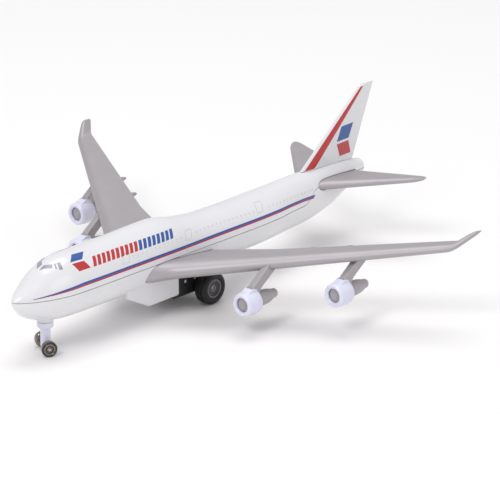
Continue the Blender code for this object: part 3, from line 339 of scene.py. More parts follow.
def block(name, low, high):
    (x0, y0, z0), (x1, y1, z1) = low, high
    return prism(name, ((y0, z0), (y1, z0), (y1, z1), (y0, z1)), x0, x1)


def bevel(obj, width, segments=3):
    edge = obj.modifiers.new("edge", "BEVEL")
    edge.width = width
    edge.segments = segments
    edge.limit_method = "ANGLE"
    edge.angle_limit = math.radians(40)


def boolean(obj, other, operation="DIFFERENCE"):
    modifier = obj.modifiers.new(operation.title() + "_" + other.name, "BOOLEAN")
    modifier.operation = operation
    modifier.object = other
    modifier.solver = "EXACT"
    other.hide_render = True


def join(obj, *others):
    for other in others:
        boolean(obj, other, "UNION")


def cut(obj, *others):
    for other in others:
        boolean(obj, other)


def settle(obj, keep=()):
    """Works the modifiers into the mesh, and removes the helpers that they used."""
    used = [m.object for m in obj.modifiers if m.type == "BOOLEAN" and m.object not in keep]
    graph = bpy.context.evaluated_depsgraph_get()
    mesh = bpy.data.meshes.new_from_object(obj.evaluated_get(graph))
    obj.modifiers.clear()
    bm = bmesh.new()
    bm.from_mesh(mesh)
    bmesh.ops.remove_doubles(bm, verts=bm.verts, dist=WELD)
    bmesh.ops.dissolve_degenerate(bm, edges=bm.edges, dist=WELD)
    bmesh.ops.triangulate(bm, faces=[face for face in bm.faces if len(face.verts) > 4])
    by_corners = {}
    for face in bm.faces:
        by_corners.setdefault(frozenset(face.verts), []).append(face)
    doubled = [face for group in by_corners.values() if len(group) > 1 for face in group]
    bmesh.ops.delete(bm, geom=doubled, context="FACES")
    bm.to_mesh(mesh)
    bm.free()
    obj.data = mesh
    shade(mesh)
    for helper in used:
        bpy.data.objects.remove(helper, do_unlink=True)
    weighted = obj.modifiers.new("even_shading", "WEIGHTED_NORMAL")
    weighted.keep_sharp = True
    return obj


def put(obj, body, slot, *nodes):
    """The piece rides on the body, and stands for the nodes. The slot is not used."""
    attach(obj, body)
    if nodes:
        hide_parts(*nodes)
    return obj


# ---------------------------------------------------------------- materials
def add_node(tree, kind, **values):
    node = tree.nodes.new(kind)
    for key, value in values.items():
        node.inputs[key].default_value = value
    return node


def finish_of(
    name, colour, roughness, metallic=0.0, coat=0.0, mottle=0.04, cloud=90, grain=1800, bump=0.05
):
    """A moulded or painted finish: its colour and gloss drift a little, and its surface has a fine grain.

    cloud and grain are noise scales per metre, mottle is the share by which the colour drifts.
    """
    made = bpy.data.materials.new(name)
    made.use_nodes = True
    tree = made.node_tree
    links = tree.links
    shader = tree.nodes["Principled BSDF"]
    shader.inputs["Metallic"].default_value = metallic
    shader.inputs["Coat Weight"].default_value = coat
    shader.inputs["Coat Roughness"].default_value = 0.08
    place = tree.nodes.new("ShaderNodeTexCoord")

    drift = add_node(tree, "ShaderNodeTexNoise", Scale=cloud, Detail=4.0, Roughness=0.6)
    links.new(place.outputs["Object"], drift.inputs["Vector"])
    ramp = tree.nodes.new("ShaderNodeValToRGB")
    low, high = ramp.color_ramp.elements
    low.position = 0.3
    high.position = 0.7
    low.color = (*[channel * (1 - mottle) for channel in colour], 1)
    high.color = (*[min(1, channel * (1 + mottle)) for channel in colour], 1)
    links.new(drift.outputs["Fac"], ramp.inputs["Fac"])
    links.new(ramp.outputs["Color"], shader.inputs["Base Color"])

    fine = add_node(tree, "ShaderNodeTexNoise", Scale=grain, Detail=2.0, Roughness=0.5)
    links.new(place.outputs["Object"], fine.inputs["Vector"])
    gloss = add_node(tree, "ShaderNodeMapRange")
    gloss.inputs["To Min"].default_value = roughness * 0.8
    gloss.inputs["To Max"].default_value = min(1, roughness * 1.2)
    links.new(fine.outputs["Fac"], gloss.inputs["Value"])
    links.new(gloss.outputs["Result"], shader.inputs["Roughness"])

    relief = tree.nodes.new("ShaderNodeBump")
    relief.inputs["Strength"].default_value = bump
    relief.inputs["Distance"].default_value = 0.05 * MM
    links.new(fine.outputs["Fac"], relief.inputs["Height"])
    links.new(relief.outputs["Normal"], shader.inputs["Normal"])
    made.diffuse_color = (*colour, 1)
    return made


INK = {"coat": 0.2, "mottle": 0.08, "cloud": 500, "grain": 2400}
WHITE = finish_of("white_body", (0.75, 0.745, 0.765), 0.2, coat=0.35, mottle=0.015, cloud=40, bump=0.02)
COWL_WHITE = finish_of("cowl_white", (0.72, 0.72, 0.86), 0.28, coat=0.2, mottle=0.012, cloud=120, bump=0.03)
SILVER = finish_of(
    "silver_paint", (0.425, 0.40, 0.415), 0.5, metallic=0.5, mottle=0.03, grain=5200, bump=0.08
)
RUBBER = finish_of(
    "tyre_rubber_black", (0.007, 0.0065, 0.007), 0.55, mottle=0.3, cloud=300, grain=2600, bump=0.25
)
HUB_GREY = finish_of("hub_grey", (0.19, 0.18, 0.195), 0.38, mottle=0.08, cloud=250, bump=0.08)
MOTOR_BLACK = finish_of("motor_black", (0.02, 0.02, 0.022), 0.34, mottle=0.2, cloud=200, bump=0.1)
NYLON = finish_of("gear_nylon_ivory", (0.72, 0.70, 0.62), 0.42, mottle=0.05, cloud=300, bump=0.05)
CHROME = finish_of(
    "dark_chrome_plate", (0.27, 0.235, 0.21), 0.16, metallic=0.95, mottle=0.15, cloud=400, bump=0.04
)
STEEL = finish_of("bright_steel", (0.55, 0.55, 0.56), 0.27, metallic=1.0, mottle=0.06, cloud=350, bump=0.05)
SPRING_STEEL = finish_of(
    "blued_spring", (0.29, 0.31, 0.38), 0.28, metallic=1.0, mottle=0.1, cloud=350, bump=0.04
)
BLUE_INK = finish_of("blue_ink", (0.024, 0.088, 0.33), 0.3, **INK)
RED_INK = finish_of("red_ink", (0.50, 0.026, 0.030), 0.3, **INK)
BLACK_STEEL = finish_of("black_oxide_steel", (0.05, 0.05, 0.055), 0.4, metallic=0.8, mottle=0.1, cloud=350)
# a darker grey for the hub's bowl: painted shade in the recess
HUB_PAINTED_SHADE = finish_of("hub_recess_painted_shade", (0.075, 0.07, 0.078), 0.45, mottle=0.08, cloud=250, bump=0.08)
PANE_GREY = finish_of("pane_grey", (0.30, 0.30, 0.36), 0.25, coat=0.3, mottle=0.06, cloud=500, grain=2400)


# ---------------------------------------------------------------- the body's shape
def slope_at(xs, ys, k):
    """The rise over run of a line of points at its point k, from the points on either side."""
    low = max(k - 1, 0)
    high = min(k + 1, len(xs) - 1)
    return (ys[high] - ys[low]) / (xs[high] - xs[low])


def curve_at(line, share):
    """The line's value at this share, smooth over the root of the share, so that a nose is blunt."""
    xs = [math.sqrt(point[0]) for point in line]
    ys = [point[1] for point in line]
    x = math.sqrt(min(max(share, 0), 1))
    i = 0
    while i < len(xs) - 2 and x > xs[i + 1]:
        i += 1
    step = xs[i + 1] - xs[i]
    t = (x - xs[i]) / step
    rise = ys[i + 1] - ys[i]
    a = slope_at(xs, ys, i) * step
    b = slope_at(xs, ys, i + 1) * step
    return ys[i] + t * (a + t * (3 * rise - 2 * a - b + t * (a + b - 2 * rise)))


def share_at(y):
    return (y - NOSE_TIP_Y) / BODY_LENGTH


def half_width(y):
    return BODY_HALF_WIDTH * curve_at(WIDTH_LINE, share_at(y))


def top_z(y):
    return SEAM_HEIGHT + DECK_HEIGHT * curve_at(TOP_LINE, share_at(y))


def keel_z(y):
    return SEAM_HEIGHT - BODY_DEPTH * curve_at(KEEL_LINE, share_at(y))


def middle_z(y):
    return SEAM_HEIGHT + BODY_DEPTH * curve_at(MIDDLE_LINE, share_at(y))


def seam_z(y):
    """The seam's height. It climbs to the stabilizer at the tail."""
    t = min(max((y - STAB_ROOT_LEAD.y) / SEAM_CLIMB + 1, 0), 1)
    return SEAM_HEIGHT + STAB_OVER_SEAM * t * t * (3 - 2 * t)


def body_stations(first=NOSE_START):
    """(y, size) from the nose to the rounded tail end."""
    made = []
    for k in range(STATIONS + 1):
        share = between(first, TAIL_ROUNDING_START, (k / STATIONS) ** STATION_CROWDING)
        made.append((NOSE_TIP_Y + BODY_LENGTH * share, 1.0))
    for k in range(1, TAIL_STEPS + 1):
        t = k / TAIL_STEPS
        share = between(TAIL_ROUNDING_START, 1, t)
        made.append((NOSE_TIP_Y + BODY_LENGTH * share, 1 - TAIL_ROUNDING * t * t))
    return made


def body_sizes(y, size=1.0, grow=0.0):
    """The section at y: its middle's height, half its width, and its reach up and down."""
    middle = middle_z(y)
    wide = (half_width(y) + grow) * size
    return middle, wide, (top_z(y) - middle + grow) * size, (middle - keel_z(y) + grow) * size


def body_ring(y, size=1.0, grow=0.0, points=AROUND):
    middle, wide, up, down = body_sizes(y, size, grow)
    ring = []
    for k in range(points):
        angle = 2 * math.pi * k / points
        reach = up if math.sin(angle) > 0 else down
        ring.append(Vector((wide * math.cos(angle), y, middle + reach * math.sin(angle))))
    return ring


def angle_for(z, middle, up, down):
    """The angle on the left side at which a section has this height."""
    reach = up if z > middle else down
    return math.asin(max(-1, min(1, (z - middle) / reach)))


def half_ring(y, size, side):
    """The outline of the half over the seam (side +1) or under it (-1), chamfered along the seam."""
    middle, wide, up, down = body_sizes(y, size)
    edge_z = seam_z(y) + side * SEAM_GAP / 2
    first = angle_for(edge_z + side * SEAM_CHAMFER, middle, up, down)
    edge_x = wide * math.cos(angle_for(edge_z, middle, up, down))
    edge_x = max(edge_x - SEAM_CHAMFER, edge_x * 0.6)
    sweep = side * math.pi - 2 * first
    ring = [Vector((edge_x, y, edge_z))]
    steps = AROUND // 2
    for k in range(steps + 1):
        angle = first + sweep * k / steps
        reach = up if math.sin(angle) > 0 else down
        ring.append(Vector((wide * math.cos(angle), y, middle + reach * math.sin(angle))))
    ring.append(Vector((-edge_x, y, edge_z)))
    return ring


def half_body(name, side):
    rings = [half_ring(y, size, side) for y, size in body_stations()]
    for point in rings[0]:
        point.y = NOSE_TIP_Y
    return skin(name, rings, WHITE)


def body_point(y, angle, lift=0.0):
    """The point of the outer surface at y and this angle from the left side, moved out by the lift."""
    middle, wide, up, down = body_sizes(y)
    reach = up if math.sin(angle) > 0 else down
    point = Vector((wide * math.cos(angle), y, middle + reach * math.sin(angle)))
    if not lift:
        return point
    around = Vector((-wide * math.sin(angle), 0, reach * math.cos(angle)))
    along = body_point(y + NEAR, angle) - body_point(y - NEAR, angle)
    return point + along.cross(around).normalized() * lift


def angle_over_seam(y, rise):
    """The angle of the left side's point at this height above the straight seam."""
    middle, _, up, down = body_sizes(y)
    return angle_for(SEAM_HEIGHT + rise, middle, up, down)


# ---------------------------------------------------------------- flying surfaces
def thickness_share(s):
    """A section's thickness at s along the chord, as a share of its thickest."""
    if s < SECTION_CROWN:
        return math.sqrt(max(0, 1 - (1 - s / SECTION_CROWN) ** 2))
    return 1 - (1 - EDGE_THICKNESS) * ((s - SECTION_CROWN) / (1 - SECTION_CROWN)) ** SECTION_FALL


def section(station, grow=0.0, per_side=WING_SIDE_POINTS):
    """The outline of a surface at a station: its leading point, trailing point, normal and thickness."""
    lead, trail, normal, thickness = station
    ahead = (trail - lead).normalized() * grow
    lead = lead - ahead
    chord = trail + ahead - lead
    upper = []
    lower = []
    for k in range(per_side):
        s = 0.5 - 0.5 * math.cos(math.pi * (k + 0.5) / per_side)
        rise = normal * (thickness_share(s) * thickness / 2 + grow)
        upper.append(lead + chord * s + rise)
        lower.append(lead + chord * s - rise)
    return upper + [trail + ahead] + lower[::-1] + [lead]


def both_sides(name, stations, finish=None, grow=0.0):
    """A skin over stations that start in the middle and run out to the left, and their mirror images."""
    left = [section(station, grow) for station in stations]
    right = [[Vector((-point.x, point.y, point.z)) for point in ring] for ring in left[:0:-1]]
    return skin(name, right + left, finish)


def wing_share(x):
    return min(max((x - WING_ROOT_X) / (WING_BEND_X - WING_ROOT_X), 0), 1)


def wing_line(x):
    """The straight leading edge, without the glove."""
    out = max(x - WING_ROOT_X, 0)
    return Vector((x, WING_ROOT_LEAD.y + out * WING_SWEEP, WING_ROOT_LEAD.z + out * WING_RISE))


def wing_lead(x):
    out = min(max(x - WING_ROOT_X, 0) / WING_GLOVE_SPAN, 1)
    return wing_line(x) - Vector((0, WING_GLOVE * (1 - out) ** 2, 0))


def wing_chord(x):
    if x <= WING_KINK_X:
        share = max(x - WING_ROOT_X, 0) / (WING_KINK_X - WING_ROOT_X)
        return between(WING_ROOT_CHORD, WING_KINK_CHORD, share)
    share = (x - WING_KINK_X) / (WING_BEND_X - WING_KINK_X)
    return between(WING_KINK_CHORD, WING_BEND_CHORD, share)


def wing_trail(x):
    twist = between(WING_ROOT_TWIST, WING_BEND_TWIST, wing_share(x))
    return wing_line(x) + Vector((0, wing_chord(x), twist))


def wing_thickness(x):
    return between(WING_ROOT_THICKNESS, WING_TIP_THICKNESS, wing_share(x) ** WING_THINNING)


def winglet_station(along, corner, thick, normal):
    """A station of the winglet; corner is the share of the chord that its rounded front takes."""
    chord = between(WING_BEND_CHORD, WINGLET_TIP_CHORD, along)
    front = wing_line(WING_BEND_X) + WINGLET_SPAN * along + Vector((0, chord * corner / 2, 0))
    back = front + Vector((0, chord * (1 - corner), WING_BEND_TWIST * (1 - along)))
    return front, back, normal, WING_TIP_THICKNESS * thick


def wing_stations():
    """Stations of the left wing from the middle of the body, round the bend, to the winglet's tip."""
    panel_up = Vector((-WING_RISE, 0, 1)).normalized()
    winglet_up = Vector((-WINGLET_SPAN.z, 0, WINGLET_SPAN.x)).normalized()
    near_bend = WING_BEND_X - WING_TIP_THICKNESS / 2
    ends = (WING_ROOT_X, WING_ROOT_X + WING_GLOVE_SPAN, WING_KINK_X, near_bend)
    xs = [0.0, WING_ROOT_X]
    for start, end, count in zip(ends, ends[1:], WING_SPLITS):
        xs += [between(start, end, k / count) for k in range(1, count + 1)]
    made = []
    for x in xs:
        turn = min(max((x - WING_ROOT_X) / WING_GLOVE_SPAN, 0), 1)
        made.append((wing_lead(x), wing_trail(x), UP.lerp(panel_up, turn).normalized(), wing_thickness(x)))
    before = made[-1]
    after = winglet_station(WINGLET_START, 0, 0.95, winglet_up)
    bend = (wing_line(WING_BEND_X), wing_trail(WING_BEND_X))
    for k in range(1, BEND_STEPS):
        t = k / BEND_STEPS
        lead, trail = (curve_point(before[i], bend[i], after[i], t) for i in (0, 1))
        normal = panel_up.lerp(winglet_up, t).normalized()
        made.append((lead, trail, normal, between(before[3], after[3], t)))
    straight = WINGLET_ROUND_FROM - WINGLET_START
    for along in (WINGLET_START, 0.45, 0.65, WINGLET_ROUND_FROM):
        thick = between(0.95, 0.75, (along - WINGLET_START) / straight)
        made.append(winglet_station(along, 0, thick, winglet_up))
    for k in range(1, BEND_STEPS + 1):
        t = math.sin(math.pi / 2 * k / BEND_STEPS)
        fall = 1 - math.sqrt(1 - (0.9 * t) ** 2)
        along = between(WINGLET_ROUND_FROM, 1, t)
        made.append(winglet_station(along, 0.55 * fall, 0.75 - 0.7 * fall, winglet_up))
    return made


def stab_stations():
    made = []
    outer = [between(STAB_ROOT_X, STAB_TIP_X, k / STAB_STATIONS) for k in range(STAB_STATIONS + 1)]
    for x in [0.0] + outer:
        out = max(x - STAB_ROOT_X, 0)
        share = out / (STAB_TIP_X - STAB_ROOT_X)
        rounding = max(0, (share - STAB_ROUND_FROM) / (1 - STAB_ROUND_FROM)) ** 2
        chord = between(STAB_ROOT_CHORD, STAB_TIP_CHORD, share)
        thick = between(STAB_ROOT_THICKNESS, STAB_TIP_THICKNESS, share) * (1 - 0.5 * rounding)
        y = STAB_ROOT_LEAD.y + out * STAB_SWEEP
        lead = Vector((x, y + 0.3 * chord * rounding, STAB_ROOT_LEAD.z + out * STAB_RISE))
        trail = Vector((x, y + chord * (1 - 0.2 * rounding), lead.z + 0.3 * STAB_TIP_THICKNESS))
        made.append((lead, trail, UP, thick))
    return made


def fin_lead_y(z):
    lean = (FIN_TIP_FRONT_Y - FIN_BASE_FRONT_Y) / (FIN_TIP_Z - top_z(FIN_BASE_FRONT_Y))
    return FIN_TIP_FRONT_Y - lean * (FIN_TIP_Z - z)


def fin_trail_y(z):
    lean = (FIN_TIP_BACK_Y - FIN_BASE_BACK_Y) / (FIN_TIP_Z - top_z(FIN_BASE_BACK_Y))
    return FIN_TIP_BACK_Y - lean * (FIN_TIP_Z - z)


FIN_LOW_Z = min(top_z(FIN_BASE_FRONT_Y), top_z(FIN_BASE_BACK_Y)) - FIN_BELOW_CROWN


def fin_thickness(z):
    return between(FIN_ROOT_THICKNESS, FIN_TIP_THICKNESS, (z - FIN_LOW_Z) / (FIN_TIP_Z - FIN_LOW_Z))


def fin_point(y, z, lift):
    """The point of the fin's left side at y and z, moved out by the lift."""
    share = (y - fin_lead_y(z)) / (fin_trail_y(z) - fin_lead_y(z))
    return Vector((thickness_share(share) * fin_thickness(z) / 2 + lift, y, z))


def fin_stations():
    near_tip = FIN_TIP_Z - FIN_ROUND_HEIGHT
    count = FIN_STATIONS
    levels = [(between(FIN_LOW_Z, near_tip, k / count), 0.0) for k in range(count + 1)]
    levels += [(between(near_tip, FIN_TIP_Z, k / 5), k / 5) for k in range(1, 6)]
    made = []
    for z, t in levels:
        corner = FIN_ROUND_CORNER * (1 - math.sqrt(1 - t * t))
        lead = Vector((0, fin_lead_y(z) + corner, z))
        trail = Vector((0, fin_trail_y(z), z))
        made.append((lead, trail, Vector((1, 0, 0)), fin_thickness(z) * (1 - 0.5 * t * t)))
    return made


# ---------------------------------------------------------------- wing, tail and engines
def make_wing():
    wing = both_sides("wing_fine", wing_stations(), SILVER)
    for side in (1, -1):
        for k, x in enumerate(FAIRING_XS):
            edge = wing_trail(x)
            start = edge.y + FAIRING_PAST_EDGE - FAIRING_LENGTH
            profile = []
            for step in range(17):
                along = 0.5 - 0.5 * math.cos(math.pi * step / 16)
                radius = FAIRING_RADIUS * math.sqrt(max(0.006, 1 - (2 * along - 1) ** 2))
                profile.append((start + FAIRING_LENGTH * along, radius))
            centre = (side * x, 0, edge.z - FAIRING_BELOW_EDGE)
            join(wing, turned(f"fairing_{k}_{side}", profile, "Y", 24, centre))
    settle(wing)
    return put(wing, "airframe", "silver_plastic", "wing")


def make_tail():
    stabilizer = both_sides("stabilizer_fine", stab_stations(), SILVER)
    put(stabilizer, "airframe", "silver_plastic", "stabilizer")
    fin = skin("tail_fin_fine", [section(station, 0, FIN_SIDE_POINTS) for station in fin_stations()], WHITE)
    near_tail = share_at(FIN_BASE_FRONT_Y) - 0.05
    rings = [body_ring(y, size, FIT_GAP) for y, size in body_stations(near_tail)]
    cut(fin, skin("body_under_fin", rings))
    middle_y = (FIN_BASE_FRONT_Y + FIN_BASE_BACK_Y) / 2
    low = Vector((0, middle_y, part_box("tail_fin")[0].z)) - FIN_TAB / 2
    high = Vector((0, middle_y, top_z(middle_y) + FIN_BELOW_CROWN)) + FIN_TAB / 2
    join(fin, block("fin_tab", low, high))
    settle(fin)
    return put(fin, "airframe", "white_plastic", "tail_fin")


def beside(place, points):
    """Points of (back, up) in millimetres from an engine's rim, as (y, z)."""
    return [(place.y + back * MM, place.z + up * MM) for back, up in points]


def make_engine(name):
    """The core with its pylon, and the cowl with the saddle that grips the pylon."""
    low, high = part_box(f"cowl_{name}")
    place = Vector(((low.x + high.x) / 2, low.y, low.z + COWL_RADIUS + COWL_BULGE))
    core_profile = rounded((
        (INTAKE_DEPTH + SPINNER_DEPTH, 0.2 * MM),
        (INTAKE_DEPTH + 0.8 * MM, CORE_RADIUS * 0.42),
        (INTAKE_DEPTH, CORE_RADIUS * 0.86),
        (INTAKE_DEPTH + 0.5 * MM, CORE_RADIUS),
        (CORE_END - 6 * MM, CORE_RADIUS),
        (CORE_END - 2.5 * MM, CORE_RADIUS * 0.93),
        (CORE_END, NOZZLE_RADIUS + 0.4 * MM),
        (CORE_END + NOZZLE_LENGTH_STEP, NOZZLE_RADIUS),
        (NOZZLE_END - 0.9 * MM, NOZZLE_RADIUS * 0.95),
        (NOZZLE_END, NOZZLE_RADIUS * 0.55),
        (NOZZLE_END, 0.2 * MM),
    ), 0.5 * MM)
    engine = turned(f"engine_core_{name}", core_profile, "Y", 48, place, SILVER)
    pylon_outline = rounded(beside(place, PYLON_OUTLINE), 1.6 * MM, 5, True)
    pylon = prism(f"pylon_{name}", pylon_outline, place.x - PYLON_HALF, place.x + PYLON_HALF)
    bevel(pylon, PYLON_EDGE, 4)
    join(engine, pylon)
    wing_room = bpy.data.objects["wing_room"]
    cut(engine, wing_room)
    settle(engine, keep=(wing_room,))
    put(engine, "airframe", "silver_plastic", f"engine_{name}")

    bore = CORE_RADIUS + RUN_GAP
    shelf = INTAKE_DEPTH - FIT_GAP
    cowl_profile = rounded((
        (shelf, INTAKE_RADIUS),
        (shelf / 2, INTAKE_RADIUS),
        (0, between(INTAKE_RADIUS, COWL_RADIUS, 0.38)),
        (0, between(INTAKE_RADIUS, COWL_RADIUS, 0.55)),
        (2.5 * COWL_LIP, COWL_RADIUS - COWL_LIP / 3),
        (COWL_LENGTH * 0.65, COWL_RADIUS + COWL_BULGE),
        (COWL_LENGTH - COWL_LIP, COWL_RADIUS - 0.1 * MM),
        (COWL_LENGTH, COWL_RADIUS - 2 * COWL_LIP),
        (COWL_LENGTH, bore),
        (shelf, bore),
    ), 0.7 * MM, 5, True)
    cowl = turned(f"engine_cowl_{name}", cowl_profile, "Y", 72, place, COWL_WHITE, True)
    saddle_end = COWL_LENGTH / MM - 0.3
    saddle_outline = rounded(beside(place, (
        (1.8, 4.6), (3.4, 5.3), (5.6, 6.3), (7.2, 5.9), (saddle_end, 5.2), (saddle_end, 4.2), (1.6, 4.2),
    )), 0.8 * MM, 4, True)
    ledge = PYLON_HALF + SADDLE_WALL
    saddle = prism(f"saddle_{name}", saddle_outline, place.x - ledge, place.x + ledge)
    bevel(saddle, SADDLE_EDGE, 4)
    join(cowl, saddle)
    room = PYLON_HALF + RUN_GAP
    cut(cowl, prism(f"slot_{name}", beside(place, SLOT_OUTLINE), place.x - room, place.x + room))
    settle(cowl)
    put(cowl, "airframe", "cowl_plastic", f"cowl_{name}")


# ---------------------------------------------------------------- body
PAINT = 0.045 * MM
PAINT_ROOT = 0.02 * MM
LEAN = 0.55  # of upright printed and moulded lines, in y over z
ENGRAVING = 0.2 * MM
CUTTER_RISE = 0.3 * MM


def film(name, patches, finish=None, low=-PAINT_ROOT, high=PAINT, point=body_point, loop=False):
    """Thin closed sheets that follow a surface on both of its sides. A patch is rows of surface places."""
    bm = bmesh.new()
    for rows in patches:
        for side in (1, -1):
            layers = []
            for lift in (low, high):
                layer = []
                for row in rows:
                    places = [point(*place, lift) for place in row]
                    layer.append([bm.verts.new((side * p.x, p.y, p.z)) for p in places])
                layers.append(layer)
            bottom, top = layers
            for layer in layers:
                for one, two in zip(layer, layer[1:]):
                    strip(bm, one, two, loop)
            borders = [(bottom[0], top[0]), (bottom[-1], top[-1])]
            if not loop:
                for k in (0, -1):
                    borders.append(([row[k] for row in bottom], [row[k] for row in top]))
            for one, two in borders:
                closed = loop and len(one) == len(rows[0])
                strip(bm, one, two, closed)
    return mesh_of(name, bm, finish)


def over_seam(y, rise):
    """The surface place at y and this height above the straight seam."""
    return y, angle_over_seam(y, rise)


def panel(corners, columns=8, rows=8, place=over_seam):
    """A four-cornered patch; the corners run low front, low back, high back, high front."""
    a, b, c, d = (Vector(corner) for corner in corners)
    made = []
    for j in range(rows + 1):
        row = []
        for k in range(columns + 1):
            t = k / columns
            u, v = a.lerp(b, t).lerp(d.lerp(c, t), j / rows)
            row.append(place(u, v))
        made.append(row)
    return made


def door_outline(y):
    """A patch along the outline of a door: an outer and an inner loop, leaning back."""
    made = []
    for inset in (0, DOOR_LINE):
        right = DOOR_WIDTH - inset
        top = DOOR_HEIGHT - inset
        corners = ((inset, inset), (right, inset), (right, top), (inset, top))
        loop = rounded(corners, DOOR_CORNER, 3, True)
        made.append([over_seam(y + across + LEAN * up, DOOR_OVER_SEAM + up) for across, up in loop])
    return made


WINDOW_LINE = ((-60, 6.1), (-36, 6.4), (-13, 6.2), (6, 5.95), (23, 5.5), (43, 5.3), (60, 5.0))
WINDOW_PITCH = 2.6 * MM
WINDOW_SIZE = Vector((0.85, 1.05)) * MM
DOOR_YS = (-61.5 * MM, -23.5 * MM, 23.0 * MM)
DOOR_OVER_SEAM = 5.3 * MM
DOOR_HEIGHT = 3.7 * MM
DOOR_WIDTH = 4.2 * MM
DOOR_LINE = 0.28 * MM
DOOR_CORNER = 0.7 * MM
NO_WINDOW = (-1.5 * MM, 6.5 * MM)  # from a door's low front corner


def line_at(line, y):
    """The height, in metres, of a line of (y, height) points in millimetres."""
    at = y / MM
    if at <= line[0][0]:
        return line[0][1] * MM
    for (y0, z0), (y1, z1) in zip(line, line[1:]):
        if at <= y1:
            return between(z0, z1, (at - y0) / (y1 - y0)) * MM
    return line[-1][1] * MM


def window_panels():
    made = []
    y = WINDOW_LINE[0][0] * MM
    while y < WINDOW_LINE[-1][0] * MM:
        y += WINDOW_PITCH
        if any(NO_WINDOW[0] < y - door < NO_WINDOW[1] for door in DOOR_YS):
            continue
        low = line_at(WINDOW_LINE, y)
        wide, tall = WINDOW_SIZE
        lean = LEAN * tall
        corners = ((y, low), (y + wide, low), (y + wide + lean, low + tall), (y + lean, low + tall))
        made.append(panel(corners, 2, 2))
    return made


def make_housing(lower, cavity):
    half = MOTOR_HALF_WIDTH + 2 * FIT_GAP
    ramp_y = HOUSING_FRONT_Y - HOUSING_RAMP
    well_y = MOTOR_FRONT_Y + 2 * MM
    roof_z = between(keel_z(HOUSING_FRONT_Y), SEAM_HEIGHT, 0.6)
    front_outline = (
        (ramp_y, keel_z(ramp_y) + WALL / 2),
        (HOUSING_FRONT_Y, HOUSING_FLOOR_Z),
        (well_y, HOUSING_FLOOR_Z),
        (well_y, roof_z),
        (ramp_y, roof_z),
    )
    front = prism("housing", front_outline, -half - WALL, half + WALL)
    bevel(front, HOUSING_EDGE, 5)
    rear_y = MOTOR_HIGH.y + FIT_GAP
    end_y = rear_y + WALL + HOUSING_REAR_RAMP
    rear_outline = (
        (rear_y - WALL / 2, HOUSING_FLOOR_Z),
        (rear_y + WALL, HOUSING_FLOOR_Z),
        (end_y, keel_z(rear_y) + WALL / 2),
        (end_y, keel_z(rear_y) + 2 * WALL),
        (rear_y - WALL / 2, keel_z(rear_y) + 2 * WALL),
    )
    join(lower, front, prism("housing_rear", rear_outline, -MOTOR_HALF_WIDTH, MOTOR_HALF_WIDTH))
    inside_y = MOTOR_FRONT_Y + 1 * MM
    inside_outline = (
        (HOUSING_FRONT_Y - 3 * MM, keel_z(HOUSING_FRONT_Y) + WALL),
        (HOUSING_FRONT_Y + HOUSING_EDGE, HOUSING_FLOOR_Z + WALL),
        (inside_y, HOUSING_FLOOR_Z + WALL),
        (inside_y, roof_z),
        (HOUSING_FRONT_Y - 3 * MM, roof_z),
    )
    cut(lower, cavity, prism("housing_inside", inside_outline, -half, half))
    low = (-half, MOTOR_FRONT_Y - FIT_GAP, 0)
    high = (half, rear_y, MOTOR_HIGH.z + 1 * MM)
    cut(lower, block("motor_opening", low, high))


